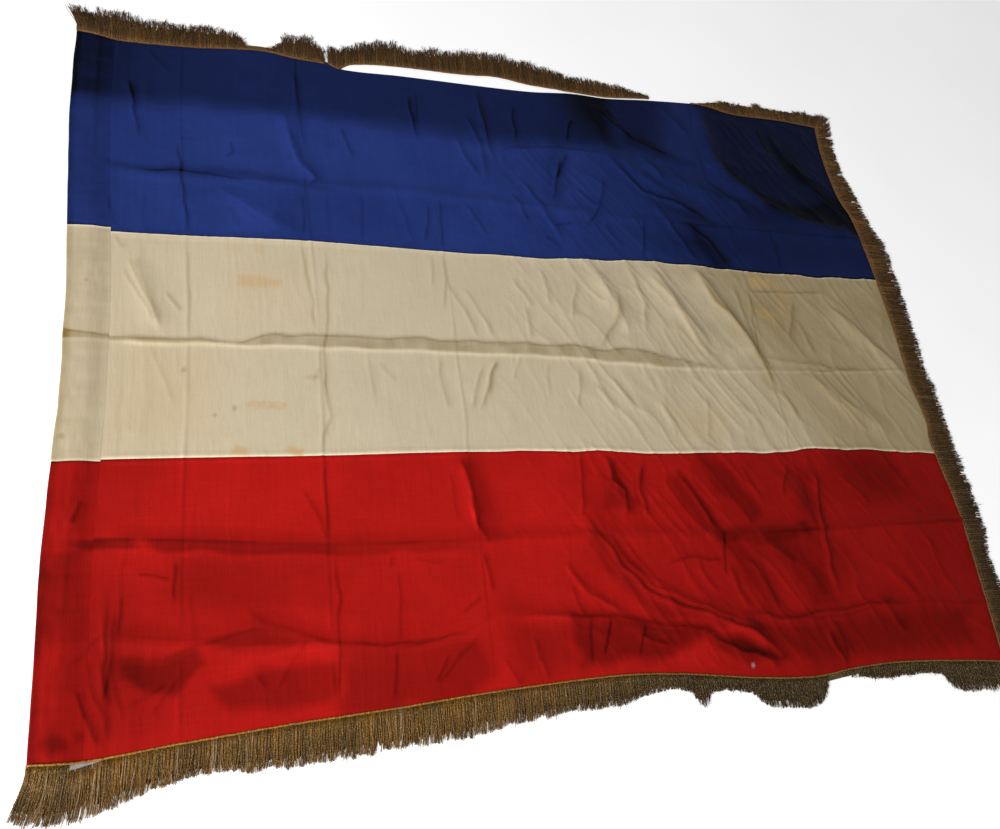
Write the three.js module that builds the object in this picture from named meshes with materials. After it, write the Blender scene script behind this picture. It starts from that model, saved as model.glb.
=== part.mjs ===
// A worn flag of three satin bands, laid out face up: its hoist end is turned over as a pole sleeve, and a
// gold fringe, partly torn off, is sewn on its top, fly and bottom edges.
// Millimetres. +X runs from hoist to fly, +Y from the red band to the blue one, +Z up from the surface.
import * as THREE from 'three';

// Cloth
const CLOTH = 1.2;             // thickness of the satin
const GAP = 0.3;               // clearance between neighbouring pieces
const FLAG_WIDTH = 1541;       // hoist fold to fly edge
const COLUMN_STEP = 48;        // spacing of the cloth's columns
const FLAT_BORDER = 12;        // the border that the braid holds flat

// Pole sleeve
const HEM_EDGE = 62;           // from the hoist fold to the hem's sewn edge
const SLEEVE_CROWN = 9;        // height of the hem's mid-surface over the surface below
const SLEEVE_SHOULDER = 28;    // where the hem starts down to its sewn edge
const SLEEVE_FADE = 90;        // creases of the flag begin this far from the hoist

// Fringe
const BRAID_WIDTH = 8;         // the part of the braid that lies on the cloth
const BRAID_LIP = 3;           // the part of it that stands past the cloth's edge
const THREADS = 1.4;           // thickness of braid and threads
const TOOTH_PITCH = 26;
const TOOTH_SPLIT = 2.5;       // opening between two tufts at the braid
const SHORTEST_TOOTH = 8;      // threads shorter than this are worn away
const SLEEVE_CLEARANCE = 1.4;  // the braid bridges the curve of the sleeve this far above it
const SLEEVE_END = 64;         // fringe over the sleeve's mouths runs this far from the hoist
const MOUTH_TIPS = 6;          // its stiff threads end this high, so both mouths stay open

// A smooth curve through points [along, across].
function curveThrough(points) {
  const last = points.length - 1;
  const slope = (k) => {
    const [before, after] = [points[Math.max(k - 1, 0)], points[Math.min(k + 1, last)]];
    return (after[1] - before[1]) / (after[0] - before[0]);
  };
  return (along) => {
    if (along <= points[0][0]) return points[0][1];
    if (along >= points[last][0]) return points[last][1];
    const k = points.findIndex(([place]) => place > along) - 1;
    const [[start, first], [end, second]] = [points[k], points[k + 1]];
    const span = end - start;
    const t = (along - start) / span;
    const rise = t * t * (3 - 2 * t);
    const leave = span * slope(k) * t * (1 - t) * (1 - t);
    const arrive = span * slope(k + 1) * t * t * (1 - t);
    return first + (second - first) * rise + leave - arrive;
  };
}

const mix = (a, b, t) => a + (b - a) * t;
const clamp01 = (t) => Math.min(Math.max(t, 0), 1);
const smooth = (t) => clamp01(t) ** 2 * (3 - 2 * clamp01(t));
const above = (line, distance) => (x) => line(x) + distance;
const between = (low, high, share) => (x) => mix(low(x), high(x), share);

// Outline of the cloth and its two seams: heights Y over places X, and the two end edges as X over Y.
const bottomEdge = curveThrough([
  [0, -7], [60, -9], [170, 0], [310, 10], [455, 17], [600, 26], [800, 32], [900, 26],
  [1050, 7], [1150, 1], [1230, 8], [1320, 10], [1460, 1], [1550, -8],
]);
const redSeam = curveThrough([
  [0, 396], [60, 400], [370, 403], [660, 408], [1000, 402], [1200, 402], [1260, 408], [1550, 395],
]);
const blueSeam = curveThrough([
  [0, 794], [60, 789], [180, 790], [360, 795], [720, 791],
  [1000, 798], [1100, 798], [1255, 788], [1550, 792],
]);
const topEdge = curveThrough([
  [0, 1207], [70, 1201], [190, 1207], [307, 1220], [373, 1212], [425, 1208], [457, 1193], [570, 1195],
  [830, 1197], [933, 1207], [1010, 1206], [1110, 1216], [1259, 1224], [1320, 1214], [1440, 1214],
  [1541, 1206],
]);
const hoistEdge = curveThrough([
  [0, 0], [260, -1], [396, 4], [517, 8], [680, 8], [794, 4], [1006, -3], [1207, -1],
]);
const flyEdge = curveThrough([
  [-8, 1548], [110, 1556], [281, 1565], [420, 1556], [463, 1564], [550, 1557], [666, 1563], [797, 1562],
  [900, 1558], [951, 1553], [998, 1538], [1068, 1531], [1133, 1532], [1207, 1541],
]);

// Creases left by folded storage. They run from hoist to fly at eighths of the height.
const lowCrease = curveThrough([
  [0, 146], [96, 146], [198, 134], [279, 150], [384, 116], [528, 113], [624, 146], [747, 132],
  [916, 94], [1041, 109], [1206, 101], [1322, 118], [1541, 108],
]);
const quarterCrease = curveThrough([[0, 288], [146, 281], [379, 265], [740, 262], [994, 255], [1541, 262]]);
const pleatFoot = curveThrough([[0, 592], [740, 587], [980, 571], [1200, 568], [1541, 574]]);
const pleatHead = curveThrough([[0, 607], [690, 607], [980, 597], [1541, 602]]);
const blueCrease = curveThrough([[0, 908], [370, 913], [543, 921], [962, 900], [1541, 896]]);
const topCrease = curveThrough([[0, 1058], [370, 1060], [793, 1044], [1012, 1057], [1541, 1052]]);

const CREASES = [
  { line: lowCrease, height: 5, below: 38, above: 30 },
  { line: quarterCrease, height: 5, below: 38, above: 26 },
  { line: blueCrease, height: 4, below: 26, above: 26 },
  { line: topCrease, height: 6, below: 30, above: 45 },
];
const PLEAT_HEIGHT = 3;
const PLEAT_SIDE = 12;
const CROSS_CREASES = [172, 370, 598, 1206];
const CROSS_CREASE_HEIGHT = 3;

// Loose folds, each a path over the cloth.
const FOLDS = [
  { path: [[772, 330], [837, 205], [928, 147], [1023, 106], [1091, 44]], height: 11, spread: 52 },
  { path: [[584, 394], [604, 290]], height: 6, spread: 40 },
  { path: [[839, 396], [852, 285]], height: 6, spread: 40 },
  { path: [[1190, 96], [1215, 20]], height: 6, spread: 42 },
  { path: [[1160, 380], [1250, 150]], height: 6, spread: 50 },
  { path: [[1001, 790], [1040, 700], [1090, 610]], height: 9, spread: 46 },
  { path: [[1099, 790], [1140, 700], [1188, 590]], height: 10, spread: 46 },
  { path: [[885, 770], [930, 640]], height: 7, spread: 44 },
  { path: [[1386, 711], [1519, 566]], height: 7, spread: 48 },
  { path: [[1290, 560], [1440, 430]], height: 6, spread: 48 },
  { path: [[93, 740], [134, 613]], height: 4, spread: 40 },
  { path: [[1236, 1200], [1234, 1060], [1318, 963], [1405, 920], [1530, 905]], height: 9, spread: 50 },
  { path: [[971, 1079], [1123, 944]], height: 7, spread: 46 },
  { path: [[1053, 1037], [1310, 930]], height: 8, spread: 48 },
  { path: [[346, 1078], [368, 967], [397, 915]], height: 6, spread: 42 },
  { path: [[224, 893], [344, 806]], height: 4, spread: 46 },
  { path: [[727, 1160], [728, 1060]], height: 5, spread: 42 },
];

// Distance from a point to a path, and the share of the path's length at which it is nearest.
function nearestOnPath(path, x, y) {
  const lengths = path.slice(1).map(([px, py], k) => Math.hypot(px - path[k][0], py - path[k][1]));
  const total = lengths.reduce((sum, length) => sum + length, 0);
  let nearest = { distance: Infinity, share: 0 };
  let walked = 0;
  lengths.forEach((length, k) => {
    const [[ax, ay], [bx, by]] = [path[k], path[k + 1]];
    const t = clamp01(((x - ax) * (bx - ax) + (y - ay) * (by - ay)) / length ** 2);
    const distance = Math.hypot(x - mix(ax, bx, t), y - mix(ay, by, t));
    if (distance < nearest.distance) nearest = { distance, share: (walked + t * length) / total };
    walked += length;
  });
  return nearest;
}

const ridge = (distance, spread) => smooth(1 - Math.abs(distance) / spread);

function foldHeight({ path, height, spread }, x, y) {
  const { distance, share } = nearestOnPath(path, x, y);
  const taper = smooth(Math.min(share, 1 - share) / 0.25 + 0.25);
  return height * taper * ridge(distance, spread);
}

function creaseHeight({ line, height, below, above: reach }, x, y) {
  const distance = y - line(x);
  return height * ridge(distance, distance < 0 ? below : reach);
}

function pleatHeight(x, y) {
  const outside = Math.max(pleatFoot(x) - y, y - pleatHead(x), 0);
  return PLEAT_HEIGHT * ridge(outside, PLEAT_SIDE);
}

// How far the cloth stands off the surface.
function lift(x, y) {
  const folds = FOLDS.map((fold) => foldHeight(fold, x, y));
  const creases = CREASES.map((crease) => creaseHeight(crease, x, y));
  const crossing = CROSS_CREASES.map((place) => CROSS_CREASE_HEIGHT * ridge(x - place, COLUMN_STEP / 2));
  const inside = Math.min(x - SLEEVE_FADE, flyEdge(y) - x, y - bottomEdge(x), topEdge(x) - y) - FLAT_BORDER;
  return Math.max(...folds, ...creases, ...crossing, pleatHeight(x, y)) * smooth(inside / 30);
}

// Height of the mid-surface of the turned-over hem, at a distance from the hoist fold.
function hemHeight(distance) {
  const sewn = CLOTH * 1.5 + GAP;
  const down = clamp01((distance - SLEEVE_SHOULDER) / (HEM_EDGE - SLEEVE_SHOULDER));
  return mix(SLEEVE_CROWN, sewn, (1 - Math.cos(Math.PI * down)) / 2);
}

// The sleeve's section from the hem's sewn edge, over its crown and round the hoist fold to the lower layer.
function sleeveSection() {
  const radius = (SLEEVE_CROWN - CLOTH / 2) / 2;
  const over = [HEM_EDGE, 50, 38, SLEEVE_SHOULDER, 14].map((x) => ({
    x,
    z: hemHeight(x),
    turned: x / HEM_EDGE,
  }));
  const round = [0, 45, 90, 135, 180].map((degrees) => {
    const angle = THREE.MathUtils.degToRad(degrees);
    return {
      x: radius * (1 - Math.sin(angle)),
      z: CLOTH / 2 + radius * (1 + Math.cos(angle)),
      turned: 0,
    };
  });
  return [...over, ...round];
}

// Columns of the cloth: the sleeve's section, then even steps, with the nearest moved onto each cross crease.
function clothColumns() {
  const first = HEM_EDGE + 14;
  const last = FLAG_WIDTH - FLAT_BORDER;
  const steps = Math.round((last - first) / COLUMN_STEP);
  const places = Array.from({ length: steps + 1 }, (_, k) => mix(first, last, k / steps));
  for (const crease of CROSS_CREASES) {
    const distances = places.map((x) => Math.abs(x - crease));
    places[distances.indexOf(Math.min(...distances))] = crease;
  }
  const flat = [SLEEVE_SHOULDER, ...places, FLAG_WIDTH].map((x) => ({ x, flat: true }));
  return [...sleeveSection(), ...flat];
}

// The seams on the turned-over hem sit a little off those of the cloth below: this far at the hem's edge.
const hemShift = curveThrough([[0, 0], [400, -3], [790, 8], [1200, 0]]);

// The mid-surface of the cloth, for a column and a row line.
function clothPoint(column, row) {
  const y = row(column.x);
  const share = clamp01(column.x / FLAG_WIDTH);
  const x = column.x + hoistEdge(y) * (1 - share) + (flyEdge(y) - FLAG_WIDTH) * share;
  if (column.flat) return new THREE.Vector3(x, y, CLOTH / 2 + lift(x, y));
  return new THREE.Vector3(x, y + hemShift(y) * column.turned, column.z);
}

// A closed solid from pairs of points, low and high, and the four-cornered cells between them.
function slab(points, cells) {
  const corners = points.flatMap(({ low, high }) => [low, high]);
  const lowOf = (k) => 2 * k;
  const highOf = (k) => 2 * k + 1;
  const triangles = [];
  const open = new Map();
  for (const cell of cells) {
    const [a, b, c, d] = cell;
    triangles.push([highOf(a), highOf(b), highOf(c)], [highOf(a), highOf(c), highOf(d)]);
    triangles.push([lowOf(a), lowOf(c), lowOf(b)], [lowOf(a), lowOf(d), lowOf(c)]);
    cell.forEach((start, k) => {
      const end = cell[(k + 1) % 4];
      if (!open.delete(`${end},${start}`)) open.set(`${start},${end}`, [start, end]);
    });
  }
  for (const [start, end] of open.values()) {
    triangles.push([lowOf(start), lowOf(end), highOf(end)], [lowOf(start), highOf(end), highOf(start)]);
  }
  const geometry = new THREE.BufferGeometry();
  geometry.setAttribute('position', new THREE.Float32BufferAttribute(corners.flatMap((p) => p.toArray()), 3));
  geometry.setIndex(triangles.flat());
  geometry.computeVertexNormals();
  return geometry;
}

// One band: a sheet over its rows and columns, thickened along its own normals.
function bandGeometry(rows) {
  const columns = clothColumns();
  const middle = rows.map((row) => columns.map((column) => clothPoint(column, row)));
  const within = (k, count) => Math.min(Math.max(k, 0), count - 1);
  const at = (r, c) => middle[within(r, rows.length)][within(c, columns.length)];
  const points = [];
  const cells = [];
  rows.forEach((_, r) => {
    columns.forEach((__, c) => {
      const along = at(r, c + 1).clone().sub(at(r, c - 1));
      const across = at(r + 1, c).clone().sub(at(r - 1, c));
      const half = along.cross(across).normalize().multiplyScalar(CLOTH / 2);
      points.push({ low: at(r, c).clone().sub(half), high: at(r, c).clone().add(half) });
      if (r === 0 || c === 0) return;
      const here = r * columns.length + c;
      const below = here - columns.length;
      cells.push([below - 1, below, here, here - 1]);
    });
  });
  return slab(points, cells);
}

// Rows of each band, from its lower edge to its upper one, with a row on every crease.
const creaseRows = ({ line, below, above: reach }) => [above(line, -below), line, above(line, reach)];
const [LOW, QUARTER, BLUE, TOP] = CREASES;
const pleatRows = [above(pleatFoot, -PLEAT_SIDE), pleatFoot, pleatHead, above(pleatHead, PLEAT_SIDE)];

const redRows = [
  bottomEdge,
  above(bottomEdge, FLAT_BORDER),
  ...creaseRows(LOW),
  between(above(lowCrease, LOW.above), above(quarterCrease, -QUARTER.below), 0.5),
  ...creaseRows(QUARTER),
  between(above(quarterCrease, QUARTER.above), redSeam, 0.5),
  above(redSeam, -GAP / 2),
];
const whiteRows = [
  above(redSeam, GAP / 2),
  between(redSeam, pleatFoot, 0.3),
  between(redSeam, pleatFoot, 0.65),
  ...pleatRows,
  between(pleatHead, blueSeam, 0.35),
  between(pleatHead, blueSeam, 0.65),
  above(blueSeam, -GAP / 2),
];
const blueRows = [
  above(blueSeam, GAP / 2),
  between(blueSeam, blueCrease, 0.4),
  ...creaseRows(BLUE),
  between(above(blueCrease, BLUE.above), above(topCrease, -TOP.below), 0.5),
  ...creaseRows(TOP),
  above(topEdge, -45),
  above(topEdge, -FLAT_BORDER),
  topEdge,
];

// The uneven ends of worn threads.
const ragged = (along) => 2.5 * Math.sin(along * 0.37) + 2 * Math.sin(along * 0.91 + 1);

const onCloth = () => CLOTH + GAP;
const onSleeve = (x) => hemHeight(x) + CLOTH / 2 + SLEEVE_CLEARANCE;

// One comb of fringe along an edge: a braid, and a tooth for each tuft of threads.
// `place` turns a distance along the edge and one out of it into X and Y.
function fringeGeometry({
  from,
  to,
  place,
  reach,
  lean,
  base = onCloth,
  inner = -BRAID_WIDTH,
  lip = BRAID_LIP,
  tipHeight = 0,
}) {
  const count = Math.round((to - from) / TOOTH_PITCH);
  const pitch = (to - from) / count;
  const points = [];
  const cells = [];
  const add = (along, out, height) => {
    const [x, y] = place(along, out);
    points.push({ low: new THREE.Vector3(x, y, height), high: new THREE.Vector3(x, y, height + THREADS) });
    return points.length - 1;
  };
  const addCell = (...cell) => {
    const [a, b, c] = cell.map((k) => points[k].low);
    const upward = (b.x - a.x) * (c.y - a.y) - (b.y - a.y) * (c.x - a.x) > 0;
    cells.push(upward ? cell : cell.reverse());
  };
  const braidAt = (along) => [add(along, inner, base(along)), add(along, lip, base(along))];
  let previous = null;
  for (let k = 0; k < count; k += 1) {
    const left = from + k * pitch;
    const right = left + pitch - TOOTH_SPLIT;
    const [start, end] = [braidAt(left), braidAt(right)];
    if (previous) addCell(previous[0], start[0], start[1], previous[1]);
    addCell(start[0], end[0], end[1], start[1]);
    previous = end;
    const middle = (left + right) / 2;
    if (reach(middle) < SHORTEST_TOOTH) continue;
    const tips = [left, right].map((along) => {
      const inward = mix(along, middle, 0.12);
      return add(inward + lean(middle), reach(middle) + ragged(along), tipHeight);
    });
    addCell(start[1], end[1], tips[1], tips[0]);
  }
  return slab(points, cells);
}

const zero = () => 0;

// Where the threads end: Y over X on the long edges, X over Y on the fly.
const topTips = curveThrough([
  [0, 1258], [79, 1256], [119, 1246], [190, 1249], [272, 1243], [284, 1222],
  [330, 1226], [355, 1254], [380, 1261], [407, 1252], [424, 1236],
]);
const looseTips = curveThrough([
  [431, 1236], [484, 1257], [548, 1278], [597, 1268], [679, 1279], [747, 1283],
  [846, 1276], [899, 1260], [963, 1249], [1037, 1246], [1115, 1228],
]);
const topFlyTips = curveThrough([[1217, 1230], [1254, 1236], [1389, 1238], [1479, 1234], [1544, 1236]]);
const flyTips = curveThrough([
  [-8, 1592], [60, 1598], [140, 1597], [182, 1592], [243, 1606], [450, 1604], [545, 1606], [579, 1600],
  [668, 1607], [819, 1610], [890, 1608], [936, 1591], [1002, 1580], [1077, 1566], [1136, 1564], [1200, 1578],
]);
const bottomTips = curveThrough([
  [0, -60], [30, -68], [60, -67], [111, -54], [151, -42], [211, -33], [307, -35], [490, -27], [562, -22],
  [620, -13], [700, -6], [800, -3], [860, 9], [915, 6], [936, -19], [958, 0], [1029, -9], [1047, -27],
  [1130, -37], [1160, -24], [1172, 0], [1240, 0], [1270, -6], [1400, -9], [1420, -33], [1460, -41],
  [1550, -44],
]);

// The torn stretch has come away from the cloth by this much, and lies on the surface.
const looseDrift = curveThrough([
  [431, 5], [457, 9], [475, 16], [518, 22], [701, 25], [770, 30], [837, 19], [891, 11], [933, 4], [1115, 4],
]);
const looseLine = (x) => topEdge(x) + looseDrift(x);

// At a corner the threads spread outwards, by this much over this length of edge.
const spreadAt = (corner, amount, over) => (along) => amount * smooth(1 - Math.abs(along - corner) / over);
const FLY_TOP = 1194;
const FLY_BOTTOM = 5;

const topHoistFringe = {
  place: (along, out) => [along, topEdge(along) + out],
  reach: (along) => topTips(along) - topEdge(along),
  lean: spreadAt(0, -16, 80),
};
const bottomFringe = {
  place: (along, out) => [along, bottomEdge(along) - out],
  reach: (along) => bottomEdge(along) - bottomTips(along),
  lean: (along) => spreadAt(0, -14, 80)(along) + spreadAt(1551, 24, 80)(along),
};
const overSleeve = { from: 2, to: SLEEVE_END, base: onSleeve, tipHeight: MOUTH_TIPS };

const FRINGES = {
  fringe_top_sleeve: { ...topHoistFringe, ...overSleeve },
  fringe_top_hoist: { ...topHoistFringe, from: SLEEVE_END + GAP, to: 426 },
  fringe_top_loose: {
    from: 431,
    to: 1115,
    place: (along, out) => [along, looseLine(along) + out],
    reach: (along) => looseTips(along) - looseLine(along),
    lean: zero,
    base: zero,
    inner: 0,
    lip: BRAID_WIDTH + BRAID_LIP,
  },
  fringe_top_fly: {
    from: 1217,
    to: 1544,
    place: (along, out) => [along, topEdge(along) + out],
    reach: (along) => topFlyTips(along) - topEdge(along),
    lean: spreadAt(1544, 18, 70),
  },
  fringe_fly: {
    from: FLY_BOTTOM,
    to: FLY_TOP,
    place: (along, out) => [flyEdge(along) + out, along],
    reach: (along) => flyTips(along) - flyEdge(along),
    lean: (along) => spreadAt(FLY_TOP, 12, 60)(along) + spreadAt(FLY_BOTTOM, -12, 60)(along),
  },
  fringe_bottom: { ...bottomFringe, from: SLEEVE_END + GAP, to: 1551 },
  fringe_bottom_sleeve: { ...bottomFringe, ...overSleeve },
};

const satin = (color) => new THREE.MeshStandardMaterial({ color, roughness: 0.45, metalness: 0 });
const fringeGold = new THREE.MeshStandardMaterial({ color: 0x6e4c22, roughness: 0.6, metalness: 0.4 });

function piece(name, geometry, material) {
  const mesh = new THREE.Mesh(geometry, material);
  mesh.name = name;
  return mesh;
}

const flag = new THREE.Group();
flag.add(piece('band_red', bandGeometry(redRows), satin(0x9e1512)));
flag.add(piece('band_white', bandGeometry(whiteRows), satin(0xb8ac84)));
flag.add(piece('band_blue', bandGeometry(blueRows), satin(0x1d2a66)));
for (const [name, fringe] of Object.entries(FRINGES)) {
  flag.add(piece(name, fringeGeometry(fringe), fringeGold));
}

// The origin is under the middle of the flag's outer box.
const box = new THREE.Box3().setFromObject(flag);
const middle = box.getCenter(new THREE.Vector3());
flag.position.set(-middle.x, -middle.y, -box.min.z);

export default flag;
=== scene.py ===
"""A worn satin flag laid out flat: three bands with storage creases, a pole sleeve and a torn gold fringe.

Lengths on the flag are in millimetres from the cloth's lower hoist corner: X to the fly, Y to the blue edge.
"""

import bpy
import numpy as np
from mathutils import Matrix, Vector


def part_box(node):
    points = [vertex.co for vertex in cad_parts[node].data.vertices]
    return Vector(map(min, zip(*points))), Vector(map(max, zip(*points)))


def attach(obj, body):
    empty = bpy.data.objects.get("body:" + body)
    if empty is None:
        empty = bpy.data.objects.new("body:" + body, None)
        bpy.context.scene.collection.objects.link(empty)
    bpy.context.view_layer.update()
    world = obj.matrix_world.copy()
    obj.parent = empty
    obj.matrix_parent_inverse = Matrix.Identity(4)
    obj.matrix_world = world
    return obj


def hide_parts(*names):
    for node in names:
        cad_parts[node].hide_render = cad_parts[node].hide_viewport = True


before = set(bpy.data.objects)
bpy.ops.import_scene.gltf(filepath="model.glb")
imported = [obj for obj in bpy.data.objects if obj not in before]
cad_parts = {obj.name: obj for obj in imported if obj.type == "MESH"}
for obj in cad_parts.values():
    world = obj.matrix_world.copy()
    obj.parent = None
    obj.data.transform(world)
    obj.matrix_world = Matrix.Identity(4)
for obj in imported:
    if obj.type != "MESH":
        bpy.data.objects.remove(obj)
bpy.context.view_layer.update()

# ---------------------------------------------------------------- sizes, in mm

FLAG_WIDTH = 1541
CLOTH = 0.5                  # thickness of the satin
BED = 0.3                    # height of its middle where it lies flat
HEM_EDGE = 62                # from the hoist fold to the sewn edge of the pole sleeve
SLEEVE_CROWN = 5.0
SLEEVE_SHOULDER = 28         # it is at its highest up to here
SLEEVE_FADE = 66             # creases of the flag begin this far from the hoist
FLAT_BORDER = 12             # the cloth lies flat this far inside its edges
FINE_STEP = 2.75             # spacing of the sheets' rows and columns
SEAM_GAP = 0.3
HEM_EDGE_THICKNESS = 0.14    # the pressed hem is thinnest along its stitches
HEM_LAP = 0.02               # gap between the hem's sewn edge and the cloth below it

# The flag's corner in the frame: the hoist fold and the lower edge run this far outside it.
HOIST_OUTSIDE = 1.0
BOTTOM_OUTSIDE = 9.1
red_low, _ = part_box("band_red")
ORIGIN = np.array([red_low[0] * 1000 + HOIST_OUTSIDE, red_low[1] * 1000 + BOTTOM_OUTSIDE])


def to_frame(x, y, z):
    """Flag millimetres to frame metres, as one array of points."""
    x, y, z = np.broadcast_arrays(x, y, z)
    return np.stack([(x + ORIGIN[0]) / 1000, (y + ORIGIN[1]) / 1000, z / 1000], axis=-1)


# ---------------------------------------------------------------- curves and profiles

def curve_through(*points):
    """A smooth curve through points (along, across), as a function of arrays."""
    place, value = np.array(points, float).T
    last = len(place) - 1
    before = np.maximum(np.arange(last + 1) - 1, 0)
    after = np.minimum(np.arange(last + 1) + 1, last)
    slope = (value[after] - value[before]) / (place[after] - place[before])

    def at(along):
        along = np.clip(along, place[0], place[-1])
        k = np.clip(np.searchsorted(place, along, side="right") - 1, 0, last - 1)
        span = place[k + 1] - place[k]
        t = (along - place[k]) / span
        rise = t * t * (3 - 2 * t)
        leave = span * slope[k] * t * (1 - t) ** 2
        arrive = span * slope[k + 1] * t * t * (1 - t)
        return value[k] + (value[k + 1] - value[k]) * rise + leave - arrive

    return at


def smooth(t):
    t = np.clip(t, 0, 1)
    return t * t * (3 - 2 * t)


def crest(distance, spread):
    """A fold's section: a crisp crest that runs out softly."""
    return np.clip(1 - np.abs(distance) / spread, 0, 1) ** 2


def noise(x, y, size, seed):
    """Smooth noise between -1 and 1 with features of about this size."""
    table = np.random.default_rng(seed).uniform(-1, 1, (64, 64))
    u, v = np.asarray(x) / size, np.asarray(y) / size
    column, row = np.floor(u).astype(int), np.floor(v).astype(int)
    s, t = smooth(u - column), smooth(v - row)
    at = lambda a, b: table[(row + b) % 64, (column + a) % 64]
    low = at(0, 0) * (1 - s) + at(1, 0) * s
    high = at(0, 1) * (1 - s) + at(1, 1) * s
    return low * (1 - t) + high * t


LIGHT_RUN = np.array([0.86, 0.51])     # the way that light travels over the flag


def on_path(path, x, y):
    """Distance to a path, share of its length at the nearest point, and how much that side is shaded."""
    points = np.array(path, float)
    steps = np.diff(points, axis=0)
    lengths = np.hypot(*steps.T)
    distance = np.full(np.shape(x), np.inf)
    share = np.zeros(np.shape(x))
    away = np.zeros(np.shape(x))
    walked = 0.0
    for (ax, ay), (dx, dy), length in zip(points, steps, lengths):
        t = np.clip(((x - ax) * dx + (y - ay) * dy) / length ** 2, 0, 1)
        off_x, off_y = x - ax - t * dx, y - ay - t * dy
        reach = np.hypot(off_x, off_y)
        nearer = reach < distance
        distance = np.where(nearer, reach, distance)
        share = np.where(nearer, (walked + t * length) / lengths.sum(), share)
        away = np.where(nearer, (off_x * LIGHT_RUN[0] + off_y * LIGHT_RUN[1]) / (reach + 0.5), away)
        walked += length
    return distance, share, away


def within(path, reach, x, y):
    """Which places are inside the box round a path, widened by a reach."""
    (left, low), (right, high) = np.min(path, axis=0) - reach, np.max(path, axis=0) + reach
    return (x > left) & (x < right) & (y > low) & (y < high)


# ---------------------------------------------------------------- the flag's lines

bottom_edge = curve_through(
    (0, -7), (60, -9), (170, 0), (310, 10), (455, 17), (600, 26), (800, 32), (900, 26),
    (1050, 7), (1150, 1), (1230, 8), (1320, 10), (1460, 1), (1550, -8))
red_seam = curve_through(
    (0, 396), (60, 400), (370, 403), (660, 408), (1000, 402), (1200, 402), (1260, 408), (1550, 395))
blue_seam = curve_through(
    (0, 794), (60, 789), (180, 790), (360, 795), (720, 791),
    (1000, 798), (1100, 798), (1255, 788), (1550, 792))
top_edge = curve_through(
    (0, 1207), (70, 1201), (190, 1207), (307, 1220), (373, 1212), (425, 1208), (457, 1193), (570, 1195),
    (830, 1197), (933, 1207), (1010, 1206), (1110, 1216), (1259, 1224), (1320, 1214), (1440, 1214),
    (1541, 1206))
hoist_edge = curve_through(
    (0, 0), (260, -1), (396, 4), (517, 8), (680, 8), (794, 4), (1006, -3), (1207, -1))
fly_edge = curve_through(
    (-8, 1548), (110, 1556), (281, 1565), (420, 1556), (463, 1564), (550, 1557), (666, 1563), (797, 1562),
    (900, 1558), (951, 1553), (998, 1538), (1068, 1531), (1133, 1532), (1207, 1541))
hem_shift = curve_through((0, 0), (400, -3), (790, 8), (1200, 0))

# Storage creases, at eighths of the height, and the pleat that the middle one has become.
low_crease = curve_through(
    (0, 146), (96, 146), (198, 134), (279, 150), (384, 116), (528, 113), (624, 146), (747, 132),
    (916, 94), (1041, 109), (1206, 101), (1322, 118), (1541, 108))
quarter_crease = curve_through((0, 288), (146, 281), (379, 265), (740, 262), (994, 255), (1541, 262))
pleat_foot = curve_through((0, 592), (740, 587), (980, 571), (1200, 568), (1541, 574))
pleat_head = curve_through((0, 607), (690, 607), (980, 597), (1541, 602))
pleat_width = curve_through(
    (0, 13), (30, 9), (62, 6), (190, 5), (222, 2), (245, 2), (290, 17), (700, 21), (930, 24), (1010, 16),
    (1100, 4), (1541, 3))
blue_crease = curve_through((0, 908), (370, 913), (543, 921), (962, 900), (1541, 896))
top_crease = curve_through((0, 1058), (370, 1060), (793, 1044), (1012, 1057), (1541, 1052))


def pleat_lines(x):
    """The lower and upper edges of the pleat."""
    foot = pleat_foot(x) + 1.5 * noise(x, x * 0, 38, 13)
    return foot, foot + pleat_width(x) * (1 + 0.12 * noise(x, x * 0, 30, 14))


STORAGE_CREASES = [
    # line, height, run-out below and above
    (low_crease, 5, 38, 30),
    (quarter_crease, 5, 38, 26),
    (blue_crease, 4, 26, 26),
    (top_crease, 2.2, 50, 60),
]
PLEAT_HEIGHT = 3
PLEAT_SIDE = 9
CROSS_CREASES = (172, 370, 598, 1206)

# Loose folds: height, spread, path.
FOLDS = [
    (8, 56, [(772, 330), (837, 205), (928, 147), (1023, 106), (1091, 44)]),
    (6, 40, [(584, 394), (604, 290)]),
    (6, 40, [(839, 396), (852, 285)]),
    (6, 42, [(1190, 96), (1215, 20)]),
    (6, 50, [(1160, 380), (1250, 150)]),
    (9, 46, [(1001, 790), (1040, 700), (1090, 610)]),
    (10, 46, [(1099, 790), (1140, 700), (1188, 590)]),
    (7, 44, [(885, 770), (930, 640)]),
    (7, 48, [(1386, 711), (1519, 566)]),
    (6, 48, [(1290, 560), (1440, 430)]),
    (4, 40, [(93, 740), (134, 613)]),
    (9, 50, [(1236, 1200), (1234, 1060), (1318, 963), (1405, 920), (1530, 905)]),
    (7, 46, [(971, 1079), (1123, 944)]),
    (8, 48, [(1053, 1037), (1310, 930)]),
    (6, 42, [(346, 1078), (368, 967), (397, 915)]),
    (4, 46, [(224, 893), (344, 806)]),
    (5, 42, [(727, 1160), (728, 1060)]),
]

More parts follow.
